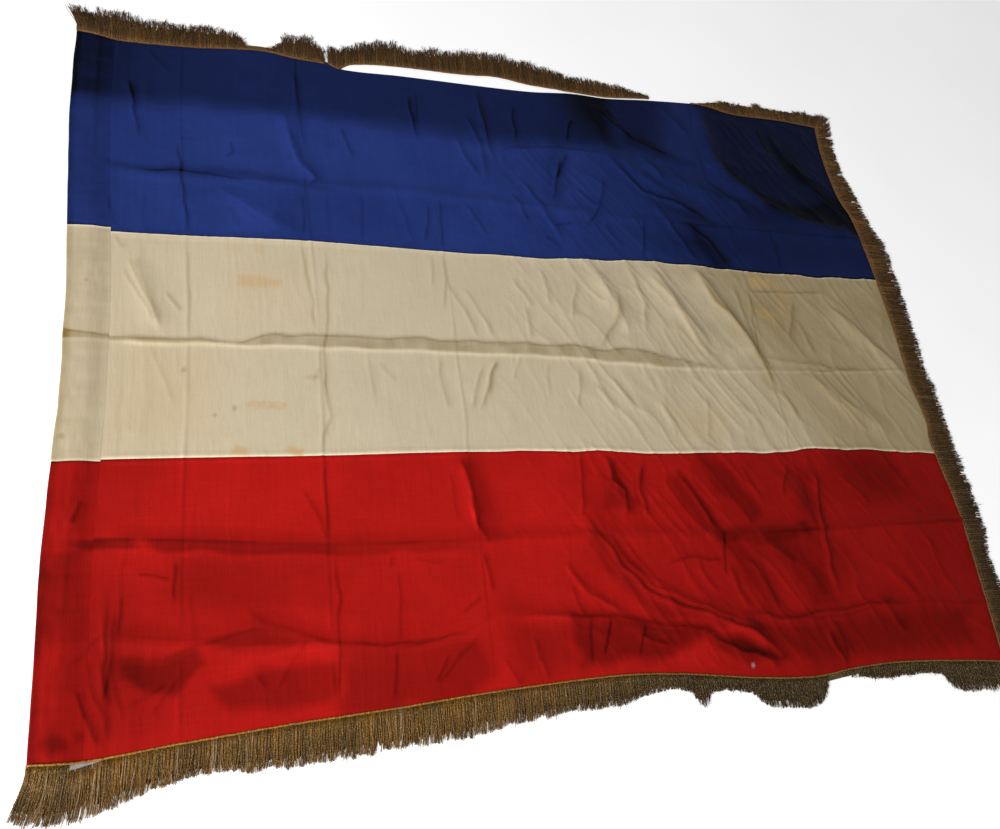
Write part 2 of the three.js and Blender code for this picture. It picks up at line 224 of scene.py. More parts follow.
# Fine creases: height, spread, darkness of the painted shade along the line, path. A negative height is a
# groove.
WRINKLES = [
    # blue, hoist half
    (1.6, 8, 0.55, [(85, 1110), (100, 1050), (110, 980)]),
    (-1.0, 5, 0.60, [(167, 985), (177, 792)]),
    (0.7, 6, 0.20, [(110, 870), (110, 790)]),
    (0.8, 6, 0.30, [(60, 850), (65, 795)]),
    (1.4, 9, 0.40, [(370, 1180), (380, 990)]),
    (2.6, 12, 0.55, [(350, 1040), (365, 960), (395, 925), (372, 905)]),
    (1.6, 8, 0.55, [(450, 1050), (465, 980)]),
    (1.6, 9, 0.50, [(585, 1150), (592, 1035)]),
    (1.6, 10, 0.40, [(725, 1190), (735, 1090), (740, 1000)]),
    (1.2, 7, 0.45, [(255, 995), (255, 970), (243, 955)]),
    (-1.0, 6, 0.50, [(100, 915), (165, 920), (205, 915), (285, 913)]),
    (1.4, 10, 0.00, [(375, 915), (470, 915), (540, 925)]),
    (0.7, 6, 0.15, [(165, 985), (222, 990)]),
    (1.3, 9, 0.00, [(175, 862), (260, 872), (318, 905)]),
    (1.2, 8, 0.10, [(235, 860), (262, 808)]),
    (1.2, 9, 0.00, [(255, 855), (312, 800)]),
    (1.4, 10, 0.10, [(280, 866), (357, 805)]),
    (-0.9, 5, 0.40, [(367, 900), (361, 803)]),
    (0.8, 6, 0.15, [(405, 905), (401, 797)]),
    (-0.8, 5, 0.25, [(470, 915), (461, 797)]),
    (-0.9, 5, 0.40, [(612, 910), (600, 797)]),
    (1.3, 8, 0.45, [(590, 895), (568, 808)]),
    (0.9, 8, 0.15, [(115, 1180), (155, 1135)]),
    (0.9, 8, 0.00, [(290, 1105), (372, 1098)]),
    (1.0, 8, 0.25, [(530, 915), (550, 797)]),
    (1.5, 10, 0.35, [(670, 1060), (697, 965)]),
    # blue, middle
    (1.3, 9, 0.35, [(800, 1155), (795, 1060)]),
    (1.6, 10, 0.40, [(890, 960), (930, 920)]),
    (1.5, 9, 0.55, [(882, 1025), (860, 980)]),
    (1.5, 12, 0.30, [(980, 1185), (1055, 1110), (1150, 1065)]),
    (2.4, 16, 0.40, [(985, 1060), (1040, 970), (1120, 945), (1170, 910)]),
    (1.1, 7, 0.40, [(800, 840), (827, 813)]),
    (1.1, 7, 0.35, [(820, 860), (862, 876)]),
    (1.6, 10, 0.40, [(905, 1050), (860, 980), (835, 920)]),
    (1.7, 11, 0.40, [(780, 975), (805, 915), (837, 823)]),
    (1.2, 8, 0.30, [(750, 940), (777, 868)]),
    (1.9, 13, 0.35, [(1110, 900), (1155, 855), (1182, 797)]),
    (1.8, 12, 0.35, [(1055, 940), (1095, 850), (1112, 800)]),
    (-0.9, 6, 0.35, [(1020, 900), (995, 803)]),
    (0.9, 8, 0.15, [(1305, 900), (1303, 797)]),
    (1.6, 11, 0.35, [(965, 995), (930, 920), (885, 863)]),
    (1.7, 14, 0.25, [(1425, 1150), (1460, 1050), (1507, 985)]),
    (0.9, 8, 0.06, [(1300, 1045), (1382, 1056)]),
    (1.4, 12, 0.25, [(1135, 1210), (1197, 1133)]),
    (1.3, 10, 0.30, [(750, 1030), (790, 1045), (910, 1060), (982, 1060)]),
    (1.4, 10, 0.30, [(700, 1120), (720, 1040), (712, 960)]),
    (1.2, 9, 0.30, [(925, 1140), (905, 1075)]),
    (1.3, 9, 0.30, [(1070, 1060), (1100, 1000)]),
    (1.2, 9, 0.25, [(655, 905), (690, 830)]),
    (1.1, 8, 0.25, [(930, 885), (960, 830)]),
    (1.4, 11, 0.25, [(1200, 1010), (1270, 925)]),
    (1.3, 12, 0.20, [(1370, 1180), (1390, 1100)]),
    # white, hoist half
    (0.9, 7, 0.25, [(65, 785), (81, 757)]),
    (1.5, 8, 0.40, [(87, 745), (135, 612)]),
    (1.1, 7, 0.30, [(79, 727), (125, 622)]),
    (1.3, 7, 0.45, [(143, 682), (160, 643)]),
    (0.6, 6, 0.12, [(103, 785), (103, 723)]),
    (-0.7, 5, 0.20, [(173, 786), (175, 612)]),
    (-1.0, 5, 0.40, [(354, 790), (363, 715), (365, 612)]),
    (-1.0, 5, 0.45, [(393, 790), (384, 612), (378, 585), (378, 472)]),
    (-0.9, 5, 0.40, [(597, 789), (597, 730), (585, 665)]),
    (1.4, 9, 0.30, [(597, 725), (642, 618)]),
    (1.2, 9, 0.25, [(625, 720), (672, 613)]),
    (0.9, 7, 0.25, [(580, 785), (568, 713)]),
    (1.0, 7, 0.30, [(565, 583), (570, 530), (577, 478)]),
    (1.7, 9, 0.45, [(668, 580), (650, 530), (625, 478)]),
    (1.2, 8, 0.35, [(645, 563), (610, 480)]),
    (1.0, 9, 0.15, [(118, 588), (160, 473)]),
    (0.8, 6, 0.25, [(343, 535), (369, 536)]),
    (0.8, 6, 0.25, [(368, 552), (358, 528)]),
    (0.8, 7, 0.15, [(448, 580), (453, 500)]),
    (0.8, 7, 0.20, [(468, 570), (491, 530)]),
    (-0.5, 5, 0.12, [(173, 588), (178, 475)]),
    (0.6, 6, 0.12, [(263, 555), (258, 505)]),
    (1.1, 8, 0.30, [(665, 573), (640, 510)]),
    (-0.5, 4, 0.15, [(81, 585), (81, 405)]),
    (0.5, 6, 0.10, [(453, 775), (443, 645)]),
    (0.9, 7, 0.30, [(376, 560), (383, 470), (365, 405)]),
    # white, fly half
    (1.2, 9, 0.25, [(720, 745), (747, 683)]),
    (1.1, 8, 0.30, [(735, 685), (737, 618)]),
    (1.2, 8, 0.25, [(775, 772), (787, 688)]),
    (1.3, 9, 0.30, [(842, 742), (820, 663)]),
    (2.2, 14, 0.30, [(920, 727), (912, 675), (865, 603)]),
    (1.8, 12, 0.30, [(955, 792), (975, 700), (963, 633)]),
    (2.4, 14, 0.35, [(993, 778), (1035, 710), (1070, 620), (1112, 573)]),
    (2.6, 14, 0.45, [(1100, 787), (1125, 715), (1170, 645), (1197, 585), (1217, 523)]),
    (1.6, 11, 0.25, [(1175, 762), (1182, 680), (1187, 623)]),
    (1.0, 7, 0.25, [(1200, 747), (1295, 751), (1397, 749)]),
    (0.9, 6, 0.25, [(1210, 742), (1195, 645), (1190, 593)]),
    (1.2, 9, 0.25, [(1190, 595), (1270, 588), (1437, 569)]),
    (1.6, 13, 0.20, [(1305, 732), (1275, 638)]),
    (1.3, 10, 0.20, [(1300, 682), (1322, 608)]),
    (1.6, 12, 0.00, [(1385, 720), (1450, 650), (1522, 568)]),
    (1.1, 8, 0.25, [(820, 567), (800, 478)]),
    (1.2, 9, 0.25, [(845, 532), (872, 478)]),
    (1.2, 9, 0.25, [(880, 552), (907, 478)]),
    (1.0, 8, 0.20, [(940, 577), (962, 518)]),
    (0.9, 8, 0.20, [(1035, 587), (1052, 538)]),
    (0.8, 7, 0.20, [(760, 572), (755, 508)]),
    (1.5, 11, 0.25, [(1215, 527), (1240, 470)]),
    (0.9, 8, 0.20, [(710, 585), (695, 533)]),
    (1.2, 10, 0.20, [(1460, 637), (1500, 600), (1527, 563)]),
    (1.1, 9, 0.20, [(960, 500), (985, 430)]),
    (1.1, 9, 0.20, [(1060, 520), (1040, 440), (1065, 410)]),
    (1.3, 12, 0.15, [(1330, 520), (1390, 440)]),
    (1.0, 9, 0.15, [(1120, 500), (1160, 440)]),
    # red, hoist half
    (1.4, 8, 0.45, [(42, 342), (33, 303)]),
    (-1.1, 5, 0.45, [(371, 397), (376, 272)]),
    (1.5, 9, 0.35, [(338, 352), (365, 300), (372, 268)]),
    (2.0, 10, 0.50, [(585, 404), (596, 330), (606, 258)]),
    (1.1, 7, 0.30, [(563, 377), (570, 293)]),
    (1.3, 9, 0.35, [(590, 337), (612, 253)]),
    (1.2, 8, 0.40, [(118, 231), (162, 225)]),
    (-0.9, 5, 0.45, [(166, 252), (165, 188)]),
    (-1.0, 5, 0.50, [(380, 250), (385, 190), (376, 30)]),
    (-0.8, 5, 0.35, [(475, 222), (465, 108)]),
    (-0.8, 5, 0.35, [(461, 107), (455, 33)]),
    (1.1, 8, 0.30, [(563, 148), (597, 172)]),
    (1.6, 14, 0.08, [(203, 129), (230, 145), (270, 155), (310, 140), (382, 120)]),
    (1.2, 10, 0.12, [(203, 126), (245, 118), (310, 119), (382, 120)]),
    (-1.0, 6, 0.45, [(380, 120), (465, 110), (577, 121)]),
    (1.0, 9, 0.15, [(100, 121), (155, 114), (197, 131)]),
    (-0.6, 5, 0.25, [(101, 207), (99, 148)]),
    (0.9, 7, 0.30, [(80, 192), (85, 53)]),
    (0.7, 7, 0.18, [(80, 225), (84, 160), (82, 100)]),
    (0.7, 7, 0.16, [(99, 270), (101, 190), (97, 120)]),
    (0.9, 7, 0.30, [(60, 128), (66, 92), (82, 52), (94, 18)]),
    (0.7, 7, 0.22, [(92, 128), (96, 84), (103, 40)]),
    (1.2, 8, 0.36, [(93, 187), (90, 110), (85, 68)]),
    (1.5, 9, 0.45, [(50, 87), (66, 42), (80, 13)]),
    (0.9, 8, 0.25, [(75, 122), (92, 58)]),
    (0.8, 8, 0.15, [(260, 171), (286, 149)]),
    (0.9, 8, 0.20, [(269, 86), (282, 68)]),
    (1.6, 9, 0.50, [(604, 242), (612, 173)]),
    (1.2, 9, 0.30, [(514, 54), (536, 92)]),
    (1.2, 10, 0.20, [(577, 112), (518, 53)]),
    (1.0, 10, 0.15, [(138, 43), (172, 92)]),
    (0.9, 10, 0.15, [(108, 59), (157, 82)]),
    (0.9, 10, 0.15, [(34, 112), (82, 157)]),
    (0.5, 6, 0.12, [(185, 202), (191, 128)]),
    (1.1, 12, 0.15, [(294, 63), (337, 132)]),
    (0.9, 7, 0.35, [(461, 242), (460, 222)]),
    (0.9, 8, 0.25, [(493, 236), (542, 225)]),
    # red, fly half
    (1.4, 8, 0.45, [(796, 409), (786, 350), (775, 283)]),
    (2.2, 12, 0.55, [(841, 396), (840, 352), (861, 335), (855, 288)]),
    (1.9, 10, 0.50, [(905, 387), (890, 335), (891, 283)]),
    (2.2, 12, 0.50, [(964, 372), (990, 320), (1005, 275), (1022, 253)]),
    (2.2, 14, 0.40, [(1250, 377), (1222, 270), (1220, 210), (1226, 128)]),
    (1.2, 12, 0.20, [(1404, 401), (1446, 323)]),
    (1.1, 7, 0.40, [(904, 203), (945, 215), (1017, 210)]),
    (-0.9, 5, 0.45, [(1025, 257), (1010, 183)]),
    (1.5, 14, 0.60, [(775, 300), (815, 235), (830, 205), (860, 170), (925, 135), (1000, 110), (1045, 85),
                     (1088, 50), (1090, 27)]),
    (1.0, 12, 0.40, [(825, 232), (870, 175), (950, 137), (1027, 108)]),
    (1.7, 11, 0.40, [(729, 222), (765, 170), (822, 128)]),
    (1.2, 9, 0.30, [(739, 182), (751, 133)]),
    (1.7, 10, 0.35, [(625, 141), (745, 134), (875, 114), (997, 84)]),
    (1.5, 9, 0.35, [(1023, 115), (1120, 106), (1210, 109), (1320, 119), (1362, 109)]),
    (1.7, 11, 0.40, [(1184, 77), (1206, 18)]),
    (1.7, 11, 0.35, [(1019, 202), (1035, 150), (1051, 118)]),
    (1.5, 11, 0.30, [(1064, 212), (1102, 123)]),
    (1.3, 11, 0.30, [(1359, 167), (1387, 118)]),
    (1.1, 9, 0.30, [(614, 82), (641, 38)]),
    (1.1, 9, 0.30, [(669, 107), (686, 38)]),
    (1.4, 13, 0.25, [(1299, 137), (1347, 63)]),
    (1.3, 10, 0.30, [(964, 207), (992, 153)]),
    (1.3, 11, 0.25, [(1109, 237), (1152, 193)]),
    (1.4, 11, 0.35, [(1191, 382), (1158, 313)]),
    (1.7, 12, 0.35, [(959, 91), (1020, 60), (1077, 33)]),
    (1.1, 10, 0.25, [(834, 101), (892, 79)]),
    (-0.8, 5, 0.40, [(796, 127), (774, 68)]),
    (-0.8, 5, 0.35, [(761, 132), (756, 53)]),
    (-0.7, 5, 0.30, [(851, 117), (834, 63)]),
    (1.1, 10, 0.25, [(1090, 380), (1120, 300)]),
    (1.2, 12, 0.20, [(1300, 360), (1340, 290)]),
    (1.0, 10, 0.20, [(1440, 240), (1470, 130)]),
]


# How crisp the folds and creases are, and how they run out.
FOLD_CRISPNESS = 0.9         # a fold spreads this share of what it does in the CAD cloth
TAPER_SHARE = 0.25           # folds run out over this share of their length
CROSS_CREASE_HEIGHT = 0.8
CROSS_CREASE_REACH = 7
PLEAT_FADE = 1.6             # the pleat becomes this much lower towards the fly
PLEAT_FADE_FROM = 940
PLEAT_FADE_OVER = 200
BORDER_FADE = 30             # folds run out over this beside the flat border
SLEEVE_FADE_OVER = 40        # and over this beside the sleeve


def main_lift(x, y):
    """The folds that the CAD cloth has, with their crests crisp."""
    height = np.zeros(np.shape(x))
    for line, top, below, above in STORAGE_CREASES:
        away = y - line(x)
        height = np.maximum(height, top * crest(away, np.where(away < 0, below, above)))
    for top, spread, path in FOLDS:
        distance, share, _ = on_path(path, x, y)
        taper = smooth(np.minimum(share, 1 - share) / TAPER_SHARE + TAPER_SHARE)
        height = np.maximum(height, top * taper * crest(distance, spread * FOLD_CRISPNESS))
    foot, head = pleat_lines(x)
    outside = np.maximum(np.maximum(foot - y, y - head), 0)
    pleat = PLEAT_HEIGHT - PLEAT_FADE * smooth((x - PLEAT_FADE_FROM) / PLEAT_FADE_OVER)
    height = np.maximum(height, pleat * crest(outside, PLEAT_SIDE))
    for place in CROSS_CREASES:
        height = np.maximum(height, CROSS_CREASE_HEIGHT * crest(x - place, CROSS_CREASE_REACH))
    inside = np.minimum(np.minimum(fly_edge(y) - x, y - bottom_edge(x)), top_edge(x) - y) - FLAT_BORDER
    return height * smooth(inside / BORDER_FADE) * smooth((x - SLEEVE_FADE) / SLEEVE_FADE_OVER)


WORN_FROM = 480              # from here to the fly the creases are wider and the lines less straight
CREASE_ROUND = 2.0           # the crest of a fine crease is rounded over this
CREASE_WANDER = 3.0          # a fine crease strays this far off its path
NARROWEST = 7                # reach of the narrowest crease, about three steps of the grid
LINE_STRENGTH = 1.8
LINE_SHARE = 0.38            # the dark line of painted shade takes up this share of a crease
THINNEST_LINE = 4.6
LEE_REACH = 2.2              # the shaded side of a crease reaches this many spreads
LEE_SHADE = 0.65
NEAR_GLOW = 0.30             # the side towards the light is this much lighter
LIGHTEST, DARKEST = -0.35, 0.9
FINE_TAPER = 0.22            # fine creases run out over this share of their length
FINE_END = 0.12


def fine_lift(x, y):
    """Fine creases, and the shade that each leaves: a dark line, a soft lee side and a lighter near side."""
    height = np.zeros(np.shape(x))
    shade = np.zeros(np.shape(x))
    wander = CREASE_WANDER * noise(x, y, 26, 11), CREASE_WANDER * noise(x, y, 26, 12)
    loose = smooth((x - WORN_FROM) / 260)
    for top, spread, shade_strength, path in WRINKLES:
        near = within(path, LEE_REACH * spread + 4, x, y)
        if not near.any():
            continue
        px, py = x[near], y[near]
        distance, share, away = on_path(path, px + wander[0][near], py + wander[1][near])
        distance = np.hypot(distance, CREASE_ROUND)
        taper = smooth(np.minimum(share, 1 - share) / FINE_TAPER + FINE_END)
        wide = np.maximum(spread * (0.7 + 0.3 * loose[near]), NARROWEST)
        height[near] += top * (0.7 + 1.0 * loose[near]) * taper * crest(distance, wide)
        line_reach = np.maximum(LINE_SHARE * wide, THINNEST_LINE)
        line = LINE_STRENGTH * np.clip(1 - distance / line_reach, 0, 1) ** 1.2
        side = crest(distance, LEE_REACH * spread)
        lee = LEE_SHADE * np.clip(away, 0, 1) * side
        lit = NEAR_GLOW * np.clip(-away, 0, 1) * side
        # painted shade: the dark line and the lee side, less the painted highlight on the near side
        shade[near] += shade_strength * taper * (np.maximum(line, lee) - lit)
    return height, np.clip(shade, LIGHTEST, DARKEST)


# ---------------------------------------------------------------- shade, stains and dirt

# Soft patches of shade on the cloth: strength (negative is lighter), softness in mm, corners.
PATCHES = [
    # blue: the dark strip along the top, painted shade where it tilts from the light, and painted shade on
    # the panel inside the wedge fold
    (0.58, 30, [(-20, 1044), (200, 1066), (373, 1067), (560, 1069), (760, 1056), (900, 1066), (1010, 1082),
                (1010, 1260), (-20, 1260)]),
    (0.08, 50, [(-30, 880), (70, 890), (90, 1240), (-30, 1240)]),
    (0.30, 40, [(1010, 1070), (1120, 1075), (1130, 1150), (1150, 1260), (1010, 1260)]),
    (0.34, 26, [(1232, 1240), (1236, 1100), (1262, 1020), (1335, 950), (1420, 930), (1580, 905),
                (1580, 1240)]),
    (0.20, 10, [(1240, 1100), (1262, 1030), (1330, 958), (1420, 936), (1400, 952), (1336, 978),
                (1272, 1050)]),
    (0.20, 16, [(1400, 1150), (1420, 1060), (1490, 1000), (1540, 960), (1500, 1010), (1440, 1080)]),
    (0.22, 30, [(1180, 985), (1290, 905), (1580, 905), (1580, 1000), (1380, 960)]),
    (-0.14, 18, [(90, 800), (172, 800), (168, 900), (60, 905)]),
    (0.18, 60, [(900, 800), (1580, 800), (1580, 900), (900, 905)]),
    (0.30, 10, [(60, 914), (290, 912), (420, 905), (290, 936), (170, 934), (60, 924)]),
    (-0.20, 26, [(240, 800), (365, 800), (330, 850), (262, 868)]),
    (-0.12, 40, [(180, 930), (700, 935), (700, 1040), (180, 1050)]),
    (0.14, 12, [(300, 800), (360, 800), (366, 903), (330, 895)]),
    (0.26, 16, [(1000, 1010), (1060, 960), (1150, 925), (1180, 900), (1120, 915), (1040, 940)]),
    (0.24, 12, [(1100, 900), (1150, 860), (1185, 797), (1150, 797)]),
    (0.20, 14, [(860, 1045), (900, 1040), (870, 960), (835, 905), (820, 930)]),
    (0.16, 14, [(1040, 1118), (1150, 1075), (1190, 1050), (1130, 1052), (1045, 1080)]),
    # white: darker towards the fly, painted shade where the light falls off, and painted shade beside its
    # folds
    (0.07, 60, [(880, 410), (1580, 410), (1580, 800), (1180, 800), (980, 600)]),
    (0.14, 12, [(908, 728), (922, 722), (916, 672), (872, 602), (852, 606), (890, 660)]),
    (0.10, 14, [(1000, 775), (1040, 705), (1076, 612), (1112, 575), (1080, 575), (1040, 625), (1010, 700)]),
    (0.16, 12, [(1108, 787), (1134, 715), (1180, 645), (1206, 585), (1222, 525), (1195, 530), (1150, 640),
                (1105, 715)]),
    (0.09, 26, [(1200, 605), (1290, 600), (1300, 730), (1215, 735)]),
    (-0.07, 24, [(1385, 715), (1455, 640), (1525, 560), (1500, 548), (1425, 620), (1370, 690)]),
    (0.10, 30, [(1440, 735), (1580, 735), (1580, 640), (1510, 660)]),
    (0.07, 14, [(-10, 420), (14, 440), (10, 770), (-10, 780)]),
    # red: panels that face away from the light
    (0.13, 40, [(60, 10), (340, 10), (310, 230), (60, 240)]),
    (0.22, 7, [(1000, 262), (1190, 264), (1196, 244), (1100, 236), (1006, 240)]),
    (0.30, 10, [(1010, 400), (1060, 380), (1110, 280), (1080, 270), (1030, 330)]),
    (0.25, 14, [(1100, 250), (1160, 250), (1220, 120), (1170, 120)]),
    (0.22, 12, [(1010, 250), (1050, 250), (1120, 120), (1080, 120)]),
    (0.38, 14, [(385, 118), (465, 106), (578, 114), (600, 60), (560, 24), (470, 26), (385, 22)]),
    (0.42, 5, [(198, 134), (232, 146), (270, 155), (312, 142), (382, 121), (310, 120), (246, 127)]),
    (0.38, 7, [(98, 115), (150, 116), (195, 128), (205, 100), (160, 70), (135, 76), (105, 90)]),
    (0.36, 9, [(212, 70), (280, 88), (372, 90), (372, 44), (280, 38), (224, 52)]),
    (-0.12, 10, [(215, 98), (260, 112), (330, 115), (366, 113), (366, 98), (280, 94)]),
    (0.34, 7, [(8, 26), (20, 38), (34, 30), (44, 14), (24, 8)]),
    (0.24, 6, [(46, 36), (60, 40), (62, 24), (50, 22)]),
    (0.22, 20, [(-10, 250), (40, 270), (40, 180), (-10, 120)]),
    (0.20, 24, [(170, 250), (372, 236), (380, 170), (230, 170), (170, 200)]),
    (0.53, 12, [(735, 132), (875, 112), (1000, 86), (1092, 46), (1078, 36), (1010, 48), (960, 78), (875, 62),
                (800, 58), (735, 56)]),
    (0.43, 12, [(780, 296), (822, 232), (836, 202), (866, 168), (930, 133), (1000, 108), (960, 104),
                (880, 122), (822, 172), (776, 240)]),
    (0.28, 26, [(630, 130), (735, 128), (735, 56), (640, 40)]),
    (0.28, 24, [(1030, 104), (1200, 98), (1340, 108), (1480, 104), (1480, 40), (1330, 30), (1140, 26)]),
    (0.38, 12, [(842, 394), (862, 332), (856, 290), (820, 300), (822, 360)]),
    (0.33, 12, [(965, 372), (990, 320), (1020, 256), (985, 262), (960, 310), (945, 360)]),
    (0.25, 14, [(905, 385), (890, 290), (866, 300), (884, 345)]),
    (0.25, 20, [(1240, 370), (1216, 270), (1218, 140), (1190, 150), (1180, 270), (1205, 360)]),
    (0.15, 60, [(1000, -20), (1600, -20), (1600, 400), (1000, 400)]),
    (0.20, 30, [(1290, 395), (1400, 398), (1445, 320), (1340, 300)]),
    (0.25, 16, [(588, 402), (604, 330), (612, 260), (640, 262), (632, 330), (618, 402)]),
    (-0.10, 30, [(640, 380), (760, 380), (750, 290), (640, 290)]),
    (-0.12, 20, [(860, 74), (1000, 66), (1000, 48), (860, 50)]),
]

# Water marks: strength, softness in mm, corners. The first set is pinkish, the second yellow.
PINK_STAINS = [
    (0.48, 5, [(251, 701), (272, 698), (312, 702), (314, 714), (282, 720), (252, 719)]),
    (0.24, 7, [(234, 764), (262, 762), (264, 784), (238, 788)]),
    (0.26, 7, [(279, 768), (295, 766), (296, 784), (281, 788)]),
    (0.36, 3, [(256, 480), (316, 480), (316, 494), (256, 494)]),
    (0.80, 4, [(236, 402), (260, 402), (262, 414), (242, 417)]),
    (0.80, 4, [(318, 408), (336, 406), (338, 418), (321, 420)]),
    (0.22, 50, [(70, 430), (210, 430), (230, 590), (80, 590)]),
    (0.16, 40, [(240, 640), (360, 640), (350, 740), (220, 740)]),
]
YELLOW_STAINS = [
    (0.40, 9, [(1222, 760), (1270, 758), (1272, 776), (1224, 780)]),
    (0.32, 12, [(1206, 678), (1246, 676), (1248, 702), (1208, 706)]),
    (0.22, 16, [(1270, 700), (1300, 696), (1300, 760), (1272, 768)]),
    (0.16, 24, [(980, 440), (1080, 436), (1100, 470), (1000, 480)]),
]
# Dried rings inside the long pale stain.
STAIN_RINGS = [(268, 487), (286, 487), (304, 487)]
RING_RADIUS = 7
# Small dark specks of dirt: place and radius.
SPECKS = [(10, 435, 4), (168, 545, 4), (28, 691, 3), (240, 482, 4), (212, 470, 3)]
# A pale fleck on the red band, likewise.
FLECK = (1029, 35, 3)


def patch(corners, softness, x, y):
    """Share of a patch at each point: 1 inside its outline, 0 outside, soft across it."""
    near = within(corners, softness + 1, x, y)
    share = np.zeros(np.shape(x))
    if not near.any():
        return share
    px, py = x[near], y[near]
    inside = np.zeros(px.shape, bool)
    outline = corners + corners[:1]
    for (ax, ay), (bx, by) in zip(outline, outline[1:]):
        if ay != by:
            inside ^= ((ay > py) != (by > py)) & (px < (bx - ax) * (py - ay) / (by - ay) + ax)
    distance, _, _ = on_path(outline, px, py)
    signed = np.where(inside, distance, -distance)
    share[near] = smooth(0.5 + signed / (2 * softness))
    return share


def painted(patches, x, y, wobble, seed):
    """The sum of soft patches, their outlines made uneven."""
    ux = x + wobble * noise(x, y, 34, seed)
    uy = y + wobble * noise(x, y, 34, seed + 1)
    total = np.zeros(np.shape(x))
    for strength, softness, corners in patches:
        total += strength * patch(corners, softness, ux, uy)
    return total


def ring_stain(x, y):
    marks = [np.clip(1 - np.abs(np.hypot(x - cx, y - cy) - RING_RADIUS) / 3, 0, 1) for cx, cy in STAIN_RINGS]
    return 0.35 * np.max(marks, axis=0)


def specks(x, y):
    marks = [np.clip(1.3 - np.hypot(x - cx, (y - cy) * 0.8) / radius, 0, 1) for cx, cy, radius in SPECKS]
    return np.max(marks, axis=0)


# ---------------------------------------------------------------- the cloth's grid

def spaced(stops, step):
    """Even steps between stops, with every stop kept."""
    parts = []
    for low, high in zip(stops, stops[1:]):
        count = max(1, round((high - low) / step))
        parts.append(np.linspace(low, high, count, endpoint=False))
    return np.concatenate([*parts, [stops[-1]]])


def hem_height(distance):
    down = np.clip((distance - SLEEVE_SHOULDER) / (HEM_EDGE - SLEEVE_SHOULDER), 0, 1)
    sewn = BED + CLOTH / 2 + HEM_LAP + HEM_EDGE_THICKNESS / 2
    return SLEEVE_CROWN + (sewn - SLEEVE_CROWN) * (1 - np.cos(np.pi * down)) / 2


def cloth_columns():
    """Section of the cloth: along the hem from its sewn edge, round the hoist fold, then out to the fly.

    Gives each column's place and height, how far it is turned over (0 to 1), and if it is the flat part."""
    over = np.linspace(HEM_EDGE, 6, 21)
    radius = (SLEEVE_CROWN - BED) / 2
    angle = np.linspace(0, np.pi, 9)
    bend_x = radius * (1 - np.sin(angle))
    bend_z = BED + radius * (1 + np.cos(angle))
    under = np.linspace(7, HEM_EDGE - 5, 8)
    flat = spaced([HEM_EDGE, *CROSS_CREASES, FLAG_WIDTH], FINE_STEP)
    rest = np.concatenate([under, flat])
    x = np.concatenate([over, bend_x, rest])
    z = np.concatenate([hem_height(over), bend_z, np.full(len(rest), BED)])
    turned = np.concatenate([over / HEM_EDGE, np.zeros(len(bend_x) + len(rest))])
    is_flat = np.concatenate([np.zeros(len(over) + len(bend_x)), np.ones(len(rest))]).astype(bool)
    return x, z, turned, is_flat


SEAM_RIDGE = 0.9             # height that the seam allowance below gives the cloth
SEAM_REACH = 11
PUCKER_HEIGHT = 0.32
GROOVE_DEPTH = 0.7           # the stitching draws the cloth down by this
GROOVE_REACH = 1.6
SEAM_DRIFT = 2.6             # the worn half's lines have been pulled this far off straight
BORDER_TURN = 5              # the cloth's edge turns down to the surface over this


def seam_relief(distance, along, seed):
    """The allowance under a seam, with the small puckers of its stitching."""
    near = np.clip(1 - distance / SEAM_REACH, 0, 1)
    pucker = PUCKER_HEIGHT * noise(along, distance * 0.4, 5.5, seed) * near
    groove = -GROOVE_DEPTH * np.clip(1 - distance / GROOVE_REACH, 0, 1)
    return SEAM_RIDGE * smooth(near * 1.6) + pucker + groove * (near > 0)


CRUMPLED_FROM = 560          # small crumples begin here
LARGE_CRUMPLE, SMALL_CRUMPLE, RIB = 2.1, 0.9, 0.35     # their heights


def crumple(x, y):
    """Unplanned unevenness: broad waves everywhere, and small crumples towards the fly."""
    broad = 0.7 * noise(x, y, 120, 5) + 0.4 * noise(x, y, 52, 6)
    slanted = x * 0.86 + y * 0.5
    across = y * 0.86 - x * 0.5
    worn = smooth((x - CRUMPLED_FROM) / 400)
    ridged = 1 - np.abs(noise(slanted, across * 0.2, 22, 8))
    finer = 1 - np.abs(noise(slanted * 0.9, across * 0.18 + 300, 12, 9))
    crisp = LARGE_CRUMPLE * ridged ** 5 + SMALL_CRUMPLE * finer ** 5
    vertical = RIB * (1 - np.abs(noise(x, y * 0.12, 15, 10))) ** 8
    return broad + worn * crisp + vertical


def to_cloth(x, y, turned):
    """Where a place on the straight flag lies on the worn one, whose ends bow and whose hem has shifted."""
    share = np.clip(x / FLAG_WIDTH, 0, 1)
    return x + hoist_edge(y) * (1 - share) + (fly_edge(y) - FLAG_WIDTH) * share, y + hem_shift(y) * turned


